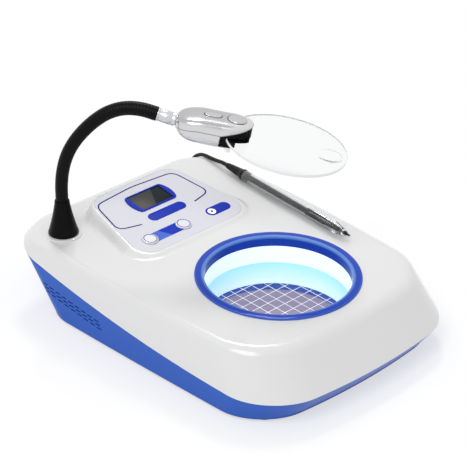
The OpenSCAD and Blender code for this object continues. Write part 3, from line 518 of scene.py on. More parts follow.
# %% Cord route, in mm
pen_route = [(95.2, 106.6, 72.3), (95.8, 114, 72.3), (96.5, 121, 71.2), (97.2, 129, 70.4),
             (98, 137, 69.9), (98.8, 145, 68), (99.4, 153, 63), (99.8, 160, 54), (100, 165, 44),
             (99.8, 169, 33), (99.2, 174, 20), (97.8, 180, 9.5), (95.4, 187, 3.6),
             (92.4, 195, 1.95), (90.6, 200, 1.9), (90.25, 205, 1.9)]
jack_route = [(42, 174.4, 11.9), (41.2, 177.8, 9.8), (40, 182, 8), (39, 188, 6.6),
              (38.7, 194, 5.9), (39, 199, 5.5), (39.5, 205, 5.3)]
cord_d = 3.5
coil_mid = Vector((64, 205, 0))

def coil_point(turn):
    """Three turns inwards on the table, a short climb, then outwards on top."""
    climb = min(1.0, max(0.0, (turn - 3.0) / 0.5))
    eased = climb * climb * (3 - 2 * climb)
    if turn <= 3.0:
        r = 26.25 - cord_d * turn
    elif turn <= 3.5:
        r = 15.75 + 1.75 * eased
    else:
        r = 17.5 + cord_d * (turn - 3.5)
    a = math.tau * turn
    return coil_mid + Vector((r * math.cos(a), r * math.sin(a), 1.9 + 3.45 * eased))

coil = [coil_point(k / 30) for k in range(1, 165)]
cord_path = smoothed(pen_route, 6) + coil + smoothed(jack_route, 6)[::-1]
print("cord length in mm:", round(length_of(cord_path), 1))

# %% Cord piece
cord = tube("lead", cord_path, cord_d / 2, cord_black)
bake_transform(cord)
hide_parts("pen_cord", "cord_coil", "plug_cord")
round(length_of(cord_path) * MM, 3)
[p * MM for p in cord_path]

# %% [markdown]
# ## Housing outlines
# The housing is two moulded shells. Their plan outlines are rounded boxes
# whose sides and front bulge a little, and the parting line between them
# climbs to the back in a curve. The same few functions as in the design give
# the rings, with more points round each corner for a smooth gloss.

# %% Outlines
half_w, half_l, front_r, back_r = 115.0, 163.0, 46.0, 40.0
foot_h, wall, edge_r = 2.5, 3.0, 8.0
foot_side, foot_front, foot_back = 3.0, 15.0, 37.0
deck_side, deck_front, deck_back = 3.0, 26.0, 8.0
corner_n, side_n = 26, 14
side_bow, deck_bow, front_bow, bow_y = 0.0144, 0.063, 0.074, 54
seam_mid, seam_climb, seam_curve = 30.9, 17.4, 9.6

def arc(cx, cy, r, a0, a1, n):
    turns = [a0 + (a1 - a0) * i / n for i in range(n + 1)]
    return [(cx + r * cosd(a), cy + r * sind(a)) for a in turns]

def rounded(w, f, b, rf, rb):
    corners = [arc(w - rb, b - rb, rb, 0, 90, corner_n), arc(rb - w, b - rb, rb, 90, 180, corner_n),
               arc(rf - w, rf - f, rf, 180, 270, corner_n), arc(w - rf, rf - f, rf, 270, 360, corner_n)]
    out = []
    for c, after in zip(corners, corners[1:] + corners[:1]):
        (ax, ay), (bx, by) = c[-1], after[0]
        out += c + [(ax + (bx - ax) * i / side_n, ay + (by - ay) * i / side_n)
                    for i in range(1, side_n)]
    return out

def bulged(outline, bow):
    """Sides drawn in by bow towards front and back, the front bulged out."""
    return [(x * (1 - bow * ((y - bow_y) / half_l) ** 2),
             y * (1 - front_bow * (x / half_w) ** 2) if y < 0 else y) for x, y in outline]

def seam_z(y):
    """Height of the parting line at y."""
    return seam_mid + seam_climb * y / half_l + seam_curve * (y / half_l) ** 2

def seam_line(d):
    return bulged(rounded(half_w - d, half_l - d, half_l - d, front_r - d, back_r - d), side_bow)

def foot_line(d):
    return bulged(rounded(half_w - foot_side - d, half_l - foot_front - d, half_l - foot_back - d,
                          front_r - foot_side - d, back_r - foot_side - d), side_bow)

def deck_line(d):
    return bulged(rounded(half_w - deck_side - d, half_l - deck_front - d, half_l - deck_back - d,
                          front_r - d, back_r - d), deck_bow)

# %% Rings
def wall_ring(d, drop):
    """Points on the side wall, drop below the parting line, d inside it."""
    ring = []
    for s, b in zip(seam_line(d), foot_line(d)):
        z = seam_z(s[1])
        k = drop / (z - foot_h)
        ring.append(Vector((s[0] * (1 - k) + b[0] * k, s[1] * (1 - k) + b[1] * k, z - drop)))
    return ring

def flat_ring(outline, z):
    return [Vector((x, y, z)) for x, y in outline]

def deck_ring(d, drop):
    return [Vector((x, y, deck_z(y) - drop)) for x, y in deck_line(d)]

def edge_ring(k):
    """Rounded deck edge, from the wall at k = 0 to the deck at k = 1."""
    ring = []
    for s, t, u in zip(wall_ring(0, 0), deck_ring(0, 0), deck_ring(edge_r, 0)):
        run = s - t
        a = t + run * min(0.8, edge_r / run.length)
        ring.append(bent(a, t, u, k))
    return ring

# %% [markdown]
# ## Upper shell
# The white cover is one deep moulding: walls that lean in from the parting
# line, a soft rounded edge, a flat deck and a raised plinth that swells up to
# the sloped panel. It is a loft, with the openings cut afterwards and the
# flats weighted so that the rounded edge keeps its soft light.

# %% Panel outline and plinth
panel_wf, panel_wb, panel_l, panel_r, plinth_w = 121.0, 101.0, 90.0, 17.0, 10.0
front_c = (panel_wf / 2 - panel_r, panel_r)
back_c = (panel_wb / 2 - panel_r, panel_l - panel_r)
panel_a = math.degrees(math.atan((front_c[0] - back_c[0]) / (back_c[1] - front_c[1])))

def trapezium(d, n=24):
    r = panel_r + d
    return (arc(back_c[0], back_c[1], r, panel_a, 90, n)
            + arc(-back_c[0], back_c[1], r, 90, 180 - panel_a, n)
            + arc(-front_c[0], front_c[1], r, 180 - panel_a, 270, n)
            + arc(front_c[0], front_c[1], r, 270, 360 + panel_a, n))

def plinth_ring(d, k, drop=0.0):
    ring = []
    for x, y in trapezium(d):
        yy = panel_y + y * cosd(panel_tilt)
        low = deck_z(yy) - drop
        high = panel_h + y * sind(panel_tilt)
        ring.append(Vector((panel_x + x, yy, low + (high - low) * k)))
    return ring

def bezier(t, *p):
    return (p[0] * (1 - t) ** 3 + 3 * p[1] * t * (1 - t) ** 2 + 3 * p[2] * t * t * (1 - t)
            + p[3] * t ** 3)

plinth = [plinth_ring(plinth_w * 1.08, -0.1, 0.5)]
for i in range(13):
    t = i / 12
    plinth.append(plinth_ring(plinth_w * bezier(t, 1.08, 0.42, 0.42, 0.0) + 0.1,
                              bezier(t, 0.0, 0.0, 1.0, 1.0), 0.06 * (1 - t)))

# %% Cover
deck_rings = [edge_ring(k / 14) for k in range(15)]
cover = piece_from("cover", *skin(
    [deck_ring(wall + edge_r, wall), deck_ring(wall, wall + edge_r * 0.6), wall_ring(wall, -0.1),
     wall_ring(wall, 3.0), wall_ring(1.6, 3.0), wall_ring(1.6, -0.1), wall_ring(0.3, -0.1),
     wall_ring(0.08, -0.2), wall_ring(0, -0.45)] + deck_rings[1:] + [deck_ring(edge_r + 1.5, 0)]),
    white_plastic)
pad_r, pad_h = 15.5, 1.0
raised = [piece_from("plinth", *skin(plinth), white_plastic),
          lathe("cone_pad", [(0.01, -2), (pad_r - 0.2, -2), (pad_r, 0.4), (pad_r - 0.2, 0.85),
                             (pad_r - 0.6, pad_h), (0.01, pad_h)], white_plastic, at_neck, 96)]
combine(cover, raised, "UNION")

# %% Openings of the cover
def post_cut(name, r, low, high, matrix, steps=96):
    return lathe(name, [(0.0, low), (r, low), (r, high), (0.0, high)], white_plastic, matrix, steps)

def boxed(name, w, d, low, high, finish, matrix, edge=0.0):
    outline = [(w / 2, -d / 2), (w / 2, d / 2), (-w / 2, d / 2), (-w / 2, -d / 2)]
    return prism(name, outline, low, high, finish, matrix, edge)

key_r, key_y, key_mid, key_pitch, disp_y = 7.0, 17.0, -21.6, 38.0, 62.0
disp_w, disp_d, glass_w, glass_d, sheet_t = 46.5, 24.0, 36.0, 21.0, 0.6
well_hole_r = 63.8
at_display = at_panel @ moved(0, disp_y, 0)
key_places = [at_panel @ moved(key_mid + s * key_pitch / 2, key_y, 0) for s in (-1, 1)]

def key_holes(low, high):
    return [post_cut("key_hole", key_r + 0.3, low, high, m) for m in key_places]

combine(cover, [post_cut("well_cut", well_hole_r, -30, 20, at_well, 192),
                prism("sheet_cut", trapezium(-0.8), -0.62, 12, white_plastic, at_panel),
                boxed("display_cut", disp_w - 2.4, disp_d - 2, -4, 8, white_plastic, at_display)]
        + key_holes(-2.2, 8) + [post_cut("stem_cut", 2.2, -14, 2, m, 32) for m in key_places])
settle_shading(healed(cover))
keep(cover, "base", "white_shell", "top_cover")

# %% [markdown]
# ## Tray
# The blue tray leans in to a smaller foot and carries the back fittings. A
# block of slots on each side lets air in: a node tree places one cutter for
# each slot, following the parting line, and one exact cut removes them all.

# %% Slot cutters
def slot_cutters():
    g = Growth("slots", Columns=9, Rows=3, Pitch=8.2, Drop=3.4, Stagger=1.2, Length=6.2, Height=1.55,
               Depth=14.0, First=46.0, Side=112.0, Below=12.2, Fall=0.045)
    line = g.node("GeometryNodeMeshLine", None, {"Count": g.given("Columns") * g.given("Rows")})
    index = g.node("GeometryNodeInputIndex")
    row = index.math("MODULO", index + 0.01, g.given("Rows")) - 0.01
    column = (index - row) / g.given("Rows")
    y0 = g.given("First") + column * g.given("Pitch")
    y = y0 - row * g.given("Stagger")
    seam = seam_mid + y0 * (seam_climb / half_l) + y0 * y0 * (seam_curve / half_l ** 2)
    z = seam - g.given("Below") - (y0 - g.given("First")) * g.given("Fall") - row * g.given("Drop")
    placed = g.node("GeometryNodeSetPosition", None, {
        "Geometry": line, "Position": g.vector(g.given("Side") * MM, y * MM, z * MM)})
    block = g.node("GeometryNodeMeshCube", None, {"Size": g.vector(
        g.given("Depth") * MM, g.given("Length") * MM, g.given("Height") * MM)})
    copies = g.node("GeometryNodeInstanceOnPoints", None, {"Points": placed, "Instance": block})
    return g.grown("slots_right", copies, blue_plastic)

right = slot_cutters()
modified(right, [("BEVEL", {"width": 0.35 * MM, "segments": 2, "limit_method": "ANGLE"})])
left = added("slots_left", right.data.copy())
left.data.transform(Matrix.Scale(-1, 4, (1, 0, 0)))
left.data.flip_normals()

# %% Back wall frame
rear_lean = math.degrees(math.atan(foot_back / (seam_z(half_l) - foot_h)))
rear_mid = 0.52
def at_rear(x):
    z = foot_h + rear_mid * (seam_z(half_l) - foot_h)
    return moved(x, half_l - foot_back * (1 - rear_mid), z) @ turned("X", -90 - rear_lean)

jack_x, power_x, switch_x = 42.0, -42.0, -8.0

# %% Tray piece
foot_curve = [(2.0, 0.0), (1.2, 0.12), (0.55, 0.45), (0.12, 1.1)]
tray = piece_from("tray", *skin(
    [flat_ring(foot_line(d), foot_h + z) for d, z in foot_curve] + [flat_ring(foot_line(0), foot_h + 2)]
    + [wall_ring(0, 0.35), wall_ring(0.08, 0.1), wall_ring(0.3, 0), wall_ring(1.4, 0),
       wall_ring(1.4, 3.2), wall_ring(wall, 3.2), flat_ring(foot_line(wall), foot_h + 2.5)]),
    blue_plastic)
pad_in, screw_in = 26, 17
cuts = [right, left,
        post_cut("jack_cut", 4.1, -15, 15, at_rear(jack_x), 48),
        post_cut("power_cut", 4.1, -15, 15, at_rear(power_x), 48),
        boxed("switch_cut", 19.2, 13.2, -15, 15, white_plastic, at_rear(switch_x))]
pad_places = [moved(s * (half_w - foot_side - pad_in), y, 0)
              for y in (pad_in - (half_l - foot_front), half_l - foot_back - pad_in) for s in (-1, 1)]
screw_places = [moved(s * (half_w - screw_in), y, 0)
                for y in (66 - half_l, -10, half_l - 79) for s in (-1, 1)]
cuts += [post_cut("pad_cut", 9.1, -1, foot_h + 1, m, 48) for m in pad_places]
cuts += [post_cut("screw_cut", 3.2, -1, foot_h + 6, m, 32) for m in screw_places]
combine(tray, cuts)
settle_shading(healed(tray))
keep(tray, "base", "blue_shell", "base_tray")

# %% [markdown]
# ## Trim ring and well
# The well is a stack of turned rings: a glossy blue trim with painted
# highlights on its lip and outer edge, a milky diffuser, a lit wall that
# fades from cyan to near white, and a clear plate over a dark rim. Turned
# profiles give clean circles; the light is a low emission. The lit wall's
# glow and fade are a painted reflection of the diffuser's light, and the
# faint glow of the rim and the backing under the plate is painted light.

# %% Well finishes
well_white = Finish("well_white", (0.90, 0.95, 0.97), 0.35, (0.8, 0.01, 0.04),
                    emission_color=(0.80, 0.95, 1.0, 1.0), emission_strength=0.45)
glow = Finish("glow_wall", (0.60, 0.88, 0.95), 0.3, (0.8, 0.01, 0.04), emission_strength=0.5)
# The lit wall's emission and its fade with height are a painted reflection of the diffuser's light. The
# wall is no lamp.
height = glow.axes(at_well)[2]
reflection_fade = ((height + 45.0) / 21.0).clipped()
glow.feed("Emission Color", glow.blend(reflection_fade, (0.66, 0.86, 0.90), (0.28, 0.72, 0.85)))
glow.feed("Base Color", glow.blend(reflection_fade, (0.74, 0.86, 0.88), (0.44, 0.76, 0.85)))
# The dark rim and the mauve backing glow faintly. This painted light stands in for the light that
# reaches them through the clear plate.
dark_rim = Finish("dark_rim", (0.015, 0.05, 0.26), 0.3, (0.6, 0.01, 0.05), specular_ior_level=0.3,
                  emission_color=(0.01, 0.05, 0.33, 1.0), emission_strength=0.7)
mauve = Finish("mauve_backing", (0.30, 0.22, 0.325), 0.6, (0.7, 0.02, 0.1),
               emission_color=(0.34, 0.27, 0.41, 1.0), emission_strength=0.2)
plate_clear = Finish("plate_clear", (0.97, 0.98, 0.99), 0.02, (3.0, 0.002, 0.01, 0.05),
                     transmission_weight=1.0, ior=1.2)
# The white print glows a little. Its emission is painted light on the grid lines and the probe icon,
# which are no lamps.
print_white_glow = Finish("print_white_glow", (0.92, 0.93, 0.95), 0.4, (0.3, 0.005, 0.05),
                     emission_color=(1, 1, 1, 1), emission_strength=0.45)

# %% Ring, diffuser, lit wall and plate
well_r, ring_r, ring_h, tube_t = 61.0, 69.0, 1.6, 2.0
z_diff, z_glow, z_glass, z_rest, z_floor = -8.0, -24.0, -45.0, -47.5, -52.5
outer_edge = [(ring_r - 0.05, 0.0), (ring_r, 0.5), (ring_r - 0.12, 1.0), (ring_r - 0.45, 1.4),
              (ring_r - 1.0, ring_h)]
inner_edge = [(well_r + 1.9, ring_h), (well_r + 1.1, 1.5), (well_r + 0.5, 1.2), (well_r + 0.14, 0.7),
              (well_r, 0.1)]
x, y, z = ring_blue.axes(at_well)
from_axis = x.hypot(y)
# The trim's inner lip and outer rounded edge are painted a lighter blue. These are painted highlights.
lip_painted_highlight = (1.0 - ((from_axis - 62.3) / 1.6).clipped()) * ((z + 1.2) / 1.6).clipped()
outer_painted_highlight = ((from_axis - 67.6) / 0.8).clipped()
middle = ring_blue.blend(outer_painted_highlight, (0.014, 0.058, 0.46), (0.05, 0.12, 0.54))
ring_blue.feed("Base Color", ring_blue.blend(lip_painted_highlight, middle, (0.13, 0.27, 0.68)))
trim = lathe("trim_ring", outer_edge + inner_edge + [(well_r, z_diff), (well_r + tube_t, z_diff),
                                                     (well_r + tube_t, -0.05)],
             ring_blue, at_well, 220, 40)
keep(trim, "base", "blue_trim", "well_ring")

def ring_piece(name, r1, r2, low, high, finish):
    """A plain ring with small bevels."""
    e = 0.15
    return lathe(name, [(r1, low + e), (r1 + e, low), (r2 - e, low), (r2, low + e),
                        (r2, high - e), (r2 - e, high), (r1 + e, high), (r1, high - e)],
                 finish, at_well, 200, 40)

keep(ring_piece("diffuser_ring", well_r, well_r + tube_t, z_glow, z_diff, well_white),
     "base", "diffuser_white", "diffuser")
keep(ring_piece("lit_ring", well_r, well_r + tube_t, z_glass, z_glow, glow),
     "base", "lit_wall", "glow_wall")
keep(ring_piece("plate_rim", well_r - 0.5, well_r + tube_t, z_floor, z_rest, dark_rim),
     "base", "dark_ring", "rest_ring")
plate_r, disc_r = well_r + tube_t, 60.0
plate = lathe("plate", [(0.0, z_rest), (plate_r - 0.3, z_rest), (plate_r, z_rest + 0.3),
                        (plate_r, z_glass - 0.3), (plate_r - 0.3, z_glass), (0.0, z_glass)],
              plate_clear, at_well, 160, 40)
keep(plate, "base", "counting_glass", "glass_plate")
backing = lathe("backing", [(0.0, z_floor), (disc_r, z_floor), (disc_r, z_floor + 0.9),
                            (0.0, z_floor + 1.0)], mauve, at_well, 120)
keep(backing, "base", "backing", "back_disc")

# %% [markdown]
# ## Counting grid
# The grid is white print on the plate: lines 10 mm apart both ways, each as
# long as the round plate allows. One node tree makes the lines of one
# direction from the circle's own rule, and is used twice.

# %% Grid lines
def grid_lines(name, across):
    g = Growth(name, Lines=12, Pitch=10.0, Width=0.42, Thick=0.06, Reach=60.6, Height=z_glass)
    line = g.node("GeometryNodeMeshLine", None, {"Count": g.given("Lines")})
    offset = (g.node("GeometryNodeInputIndex") - (g.given("Lines") - 1.0) * 0.5) * g.given("Pitch")
    half = (g.given("Reach") * g.given("Reach") - offset * offset).root()
    place = (offset, 0.0) if across else (0.0, offset)
    size = (g.given("Width"), half * 2.0) if across else (half * 2.0, g.given("Width"))
    placed = g.node("GeometryNodeSetPosition", None, {
        "Geometry": line, "Position": g.vector(*place, g.given("Height"))})
    bar = g.node("GeometryNodeMeshCube", None, {"Size": g.vector(1.0, 1.0, 1.0)})
    bars = g.node("GeometryNodeInstanceOnPoints", None, {
        "Points": placed, "Instance": bar, "Scale": g.vector(*size, g.given("Thick"))})
    o = g.grown(name, bars, print_white_glow)
    o.data.transform(Matrix.Scale(MM, 4) @ at_well)
    return keep(o, "base", "counting_glass")

grid_lines("grid_along", True)
grid_lines("grid_across", False)

# %% [markdown]
# ## Panel
# The panel is a lavender printed sheet let into the plinth, with a navy
# outline, a band behind the two keys, name and probe fields, and a framed
# dark window whose lighter diagonal half is a painted reflection. Prints are
# thin raised outlines, so their edges stay crisp.

# %% Panel finishes
sheet_lilac = Finish("sheet_lilac", (0.675, 0.675, 0.74), 0.42, (0.35, 0.008, 0.06, 0.25),
                     specular_ior_level=0.2)
ink_grain = (0.35, 0.006, 0.05, 0.2)
print_navy = Finish("print_navy", (0.010, 0.034, 0.44), 0.35, ink_grain, specular_ior_level=0.04)
print_line = Finish("print_line", (0.003, 0.008, 0.17), 0.4, ink_grain, specular_ior_level=0.03)
print_sky = Finish("print_sky", (0.05, 0.12, 0.60), 0.38, ink_grain, specular_ior_level=0.04)
x, y, z = print_sky.axes(at_panel)
slash = (x + (y - key_y) * 0.6 - key_mid).below(-2.5)
print_sky.feed("Base Color", print_sky.blend(slash, (0.010, 0.038, 0.48), (0.075, 0.16, 0.64)))
window_dark = Finish("window_dark", (0.05, 0.05, 0.052), 0.3, (1.2, 0.003, 0.03, 0.1),
                     specular_ior_level=0.05)
x, y, z = window_dark.axes(at_panel)
# The lighter half of the window, past a steep diagonal, is a painted reflection.
painted_reflection_slant = ((y - disp_y) * 0.55 - x + 3.0).above(0.0)
window_dark.feed("Base Color", window_dark.blend(painted_reflection_slant, (0.008, 0.014, 0.019), (0.052, 0.051, 0.047)))

# %% Rounded outlines for prints
def rounded_path(points, radius, closed=True, n=8):
    """Corner points of a line, each with its corner rounded."""
    out, count = [], len(points)
    for i, p in enumerate(points):
        p = Vector(p)
        if not closed and i in (0, count - 1):
            out.append(p)
            continue
        a, b = Vector(points[i - 1]), Vector(points[(i + 1) % count])
        u, v = (a - p), (b - p)
        r = min(radius, u.length * 0.45, v.length * 0.45)
        u, v = p + u.normalized() * r, p + v.normalized() * r
        out += [bent(u, p, v, k / n) for k in range(n + 1)]
    return out

def ribbon(name, points, width, high, finish, matrix, radius, closed=True):
    """A raised line of one width along a path with rounded corners."""
    path = rounded_path(points, radius, closed)
    rings, count = [], len(path)
    for i, p in enumerate(path):
        a = path[i - 1] if closed or i else path[i]
        b = path[(i + 1) % count] if closed or i < count - 1 else path[i]
        t = (b - a).normalized()
        side = Vector((-t.y, t.x)) * width / 2
        rings.append([Vector((*(p + s * side), z)) for s, z in ((1, 0), (1, high), (-1, high), (-1, 0))])
    return piece_from(name, *skin(rings, closed), finish, matrix, 40)

def barrel(w, d, r, corner=4.0):
    """A box whose ends swell out a little, with rounded corners."""
    ends = math.degrees(math.asin(d / 2 / r))
    right = arc(w / 2 - r, 0, r, -ends, ends, 4)
    points = right + [(-x, -y) for x, y in right]
    return [(p.x, p.y) for p in rounded_path(points, corner)]

def stadium(l, w, n=24):
    return arc((l - w) / 2, 0, w / 2, -90, 90, n) + arc((w - l) / 2, 0, w / 2, 90, 270, n)

# %% Sheet, outline and fields
end_r = 24.0
sheet = prism("panel_sheet", trapezium(-1.0), -sheet_t, 0.0, sheet_lilac, at_panel, 0.15)
combine(sheet, key_holes(-5, 5) + [prism("window_hole", barrel(disp_w - 2.4, disp_d - 2, end_r - 1.2),
                                         -5, 5, sheet_lilac, at_display)])
keep(settle_shading(sheet), "base", "panel_sheet", "panel_overlay")
corners = [(-32, 37.2), (-54, 42.5), (-46.5, 80.5), (-3.5, 84.3), (43, 81), (49.5, 41), (29, 36.8)]
keep(ribbon("panel_outline", corners, 1.25, 0.07, print_line, at_panel, 8.0, False),
     "base", "panel_print")
keep(prism("name_field", stadium(41, 10.5), 0.0, 0.3, print_navy,
           at_panel @ moved(-1, 39.5, 0), 0.12), "base", "panel_print", "panel_films")
keep(prism("probe_field", stadium(26, 11), 0.0, 0.3, print_navy,
           at_panel @ moved(38, key_y, 0), 0.12), "base", "panel_print")
at_mark = at_panel @ moved(30.6, key_y, 0)
keep(lathe("probe_icon", [(0, 0.29), (3.7, 0.29), (3.7, 0.36), (1.5, 0.37), (0, 0.37)],
           print_white_glow, at_mark, 64), "base", "panel_print")
keep(lathe("probe_dot", [(0, 0.36), (1.35, 0.36), (1.35, 0.41), (0, 0.41)], window_dark, at_mark, 40),
     "base", "panel_print")
band = boxed("key_band", key_pitch, key_r * 1.64, 0.0, 0.3, print_sky,
             at_panel @ moved(key_mid, key_y, 0), 0.1)
combine(band, key_holes(-5, 5))
keep(settle_shading(band), "base", "panel_print")

# %% Display frame and window
rim = prism("display_trim", barrel(disp_w, disp_d, end_r), 0.0, 1.0, print_navy, at_display, 0.35)
skirt = prism("trim_wall", barrel(disp_w - 2.8, disp_d - 2.4, end_r - 1.4), -2.4, 0.4, print_navy,
              at_display)
hole = boxed("window_cut", glass_w, glass_d, -5, 5, print_navy, at_display)
combine(rim, [skirt], "UNION")
combine(rim, [hole])
keep(settle_shading(rim), "base", "display_trim", "display_frame")
glass = boxed("display_glass", glass_w - 0.1, glass_d - 0.1, -1.4, 0.45, window_dark, at_display, 0.3)
keep(glass, "base", "display_glass", "display_window")

# %% Keys
for body, m in zip(("start_key", "reset_key"), key_places):
    cap = lathe(body + "_cap", [(0, -1.4), (key_r, -1.4), (key_r, 0.75), (key_r - 0.14, 1.0),
                                (key_r - 0.5, 1.18), (5.2, 1.2), (0, 1.14)], key_plastic, m, 96)
    stem = lathe("stem", [(0, -4.9), (1.8, -4.9), (1.8, -1.0), (0, -1.0)], key_plastic, m, 32)
    combine(cap, [stem], "UNION")
    keep(settle_shading(cap), body, "key_caps", body)
    keep(lathe(body + "_circle", [(5.25, 1.17), (5.95, 1.17), (5.95, 1.24), (5.25, 1.24)],
               print_line, m, 96), body, "key_caps")

# %% [markdown]
# ## Neck
# Inside the neck, short links turn on nine joints. Outside it is one smooth
# black sleeve, so each joint gets its own stretch of sleeve, from the middle
# of one link to the middle of the next, bent by a curve at rest. Fine rings
# run round it, as on a wound gooseneck.

# %% Neck joints
kink = [7, 8.5, 11.5, 10.5, 7.5, 9, 17, 20, 16, 0]
link_l, cone_h, ferrule_l = 14.0, 31.0, 15.0

def heading(i):
    """Lean of link i from upright, in degrees."""
    return sum(kink[:i])

def joint_at(i):
    """Where joint i sits in the neck's own frame, in mm."""
    x, z = 0.0, pad_h + cone_h
    for k in range(i):
        x += link_l * sind(heading(k))
        z += link_l * cosd(heading(k))
    return Vector((x, 0, z))

joints = [joint_at(i) for i in range(11)]
middles = [(a + b) / 2 for a, b in zip(joints, joints[1:])]
print("neck length in mm:", round(length_of(joints), 1))

# %% Sleeve stretches
sleeve = Finish("neck_sleeve", (0.0025, 0.0025, 0.0026), 0.3, specular_ior_level=0.1)
along = sleeve.node("UVMap", {"uv_map": "along"})
run = sleeve.node("SeparateXYZ", None, {"Vector": along}, output="Y")
ring_pitch = 2.4
rings_up = run.math("SINE", run * (math.tau / ring_pitch))
grain = sleeve.noise(0.5)
sleeve.bump(rings_up * 0.5 + grain * 0.3, 0.25, 0.6)
sleeve.feed("Roughness", 0.3 + grain * 0.12)

def mark_along(o, path, matrix, start):
    """UV map whose V is the distance along the sleeve, in mm."""
    places, total = [], start
    for i, p in enumerate(path):
        total += (p - path[i - 1]).length if i else 0.0
        places.append((matrix @ p, total))
    uv = o.data.uv_layers.new(name="along")
    for loop in o.data.loops:
        p = o.data.vertices[loop.vertex_index].co / MM
        near = min(places, key=lambda q: (q[0] - p).length_squared)
        uv.data[loop.index].uv = (0.0, near[1])
    return total

def sleeve_r(s):
    return 5.35 + 0.65 * s

def stretch(name, path, s0, s1, start):
    placed = [at_neck @ p for p in path]
    n = len(placed) - 1
    o = tube(name, placed, [sleeve_r(s0 + (s1 - s0) * i / n) for i in range(n + 1)], sleeve, 28)
    return o, mark_along(o, path, at_neck, start)

root, run_mm = stretch("sleeve_root", [joints[0] - Vector((0, 0, 6)), joints[0], middles[0]],
                       0, 0.05, 0.0)
keep(root, "base", "neck_black", "neck_root")
for i in range(1, 10):
    a, b, c = middles[i - 1], joints[i], middles[i]
    path = [bent(a, b, c, k / 10) for k in range(11)]
    o, run_mm = stretch("sleeve_%d" % i, path, i / 10 - 0.05, i / 10 + 0.05, run_mm)
    (at_neck @ a) * MM
    (at_neck @ c) * MM
    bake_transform(o)
    if i < 9:
        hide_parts("neck_link_%d" % i)
tail, run_mm = stretch("sleeve_top", [middles[9], joints[10]], 0.95, 1.0, run_mm)
keep(tail, "head", "neck_black", "neck_sleeve")

# %% [markdown]
# ## Cone at the neck's foot
# A turned black cone flares down to the deck, with a soft foot, a slight waist
# and a short collar that takes the sleeve.

# %% Cone
cone_r = 13.0
flare = [(cone_r - 0.6, 0.02), (cone_r, 0.7), (cone_r - 0.1, 2.2), (cone_r - 0.9, 4.2)]
for k in range(1, 13):
    t = k / 12
    flare.append((cone_r - 0.9 - 5.5 * t - 0.35 * math.sin(math.pi * t), 4.2 + 23.6 * t))
flare += [(6.45, 28.2), (6.45, 30.2), (6.2, 30.9), (5.7, cone_h), (4.9, cone_h)]
cone = lathe("neck_cone_skin", [(2.6, -12.0), (4.8, -12.0), (4.8, 0.02)] + flare + [(2.6, cone_h)],
             black_plastic, at_neck @ moved(0, 0, pad_h), 120, 50)
keep(cone, "base", "neck_black", "neck_cone")

# %% [markdown]
# ## Ferrule and lens head
# A bright ferrule joins the sleeve to a head of two silver shells: a flat
# arched cover that falls to the nose, and a deeper trough that holds the
# lamps. Both are lofts through many cross-sections, so the plating reflects
# in long clean bands. The cover's plating is painted darker next to the seam
# and on its crown, a painted reflection of a dimmer room, and a painted dark
# hairline of shade runs round the button and the cap.

# %% Ferrule
ferrule = lathe("ferrule_skin", [(2.6, -1.0), (5.3, -0.4), (5.5, 0.2), (5.5, 1.6), (5.15, 1.9),
                                 (5.15, 2.3), (5.5, 2.6), (5.5, 12.2), (5.2, 12.6), (5.2, 13.0),
                                 (5.5, 13.4), (5.5, ferrule_l), (4.5, ferrule_l), (4.5, 21.0),
                                 (2.6, 21.0)],
                bright_steel, at_neck @ moved(*joints[10]) @ turned("Y", heading(10)), 96, 50)
keep(ferrule, "head", "ferrule_steel", "ferrule")

# %% Head sections
head_l, head_w, cap_h, sump_h, head_t = 64.5, 17.5, 9.6, 13.5, 1.6
root_at = joints[10] + ferrule_l * Vector((sind(heading(10)), 0, cosd(heading(10))))
at_head = at_neck @ moved(*root_at)
nose_fall, part_z, sump_l, jaw_x = 0.16, -2.7, 50.0, 37.0

def shape(u, p, q):
    return max(0.004, 1 - abs(2 * u - 1) ** p) ** q

def boxy(c, e):
    return math.copysign(abs(c) ** e, c)

def head_half(x): return (head_w - 0.045 * x) * shape(x / head_l, 4, 0.5)
def head_top(x): return part_z + cap_h - nose_fall * max(0.0, x - 22)
def head_part(x): return part_z - 0.2 * max(0.0, x - 20) + 0.36 * max(0.0, x - 39)
def head_low(x): return sump_h * max(0.01, 1 - max(0.0, 1 - x / 24) ** 2) ** 0.6

def stations(x0, x1, n):
    return [x0 + (x1 - x0) * (1 - math.cos(math.pi * i / n)) / 2 for i in range(n + 1)]

def evened(e, n=40):
    """Angles that space points evenly along a boxy half round."""
    fine = [math.pi * k / 2000 for k in range(2001)]
    pts = [(boxy(math.cos(a), e), boxy(math.sin(a), e)) for a in fine]
    run = [0.0]
    for (ax, ay), (bx, by) in zip(pts, pts[1:]):
        run.append(run[-1] + math.hypot(bx - ax, by - ay))
    out, k = [], 0
    for i in range(n + 1):
        while k < 2000 and run[k] < run[-1] * i / n:
            k += 1
        out.append(fine[k])
    return out

upper_angles, lower_angles = evened(0.5), evened(0.6)

def arch(x, d=0.0, drop=0.0):
    w = max(0.3, head_half(x) - d)
    h = max(0.3, (head_top(x) - head_part(x)) * shape(x / head_l, 8, 0.5) - d)
    return [Vector((x, w * boxy(math.cos(a), 0.5),
                    head_part(x) - drop + (h + drop) * boxy(math.sin(a), 0.45)))
            for a in upper_angles]

def trough(x, d=0.0, rise=-0.1):
    w = max(0.3, head_half(x) - 0.4 - d)
    h = max(0.3, head_low(x) - d)
    return [Vector((x, -w * boxy(math.cos(a), 0.6),
                    head_part(min(x, 39)) + rise - (h + rise) * boxy(math.sin(a), 0.6)))
            for a in lower_angles]

# %% Plating of the head shells
def at_top(x):
    return at_head @ moved(x, 0, head_top(x)) @ turned("Y", math.degrees(math.atan(nose_fall)))

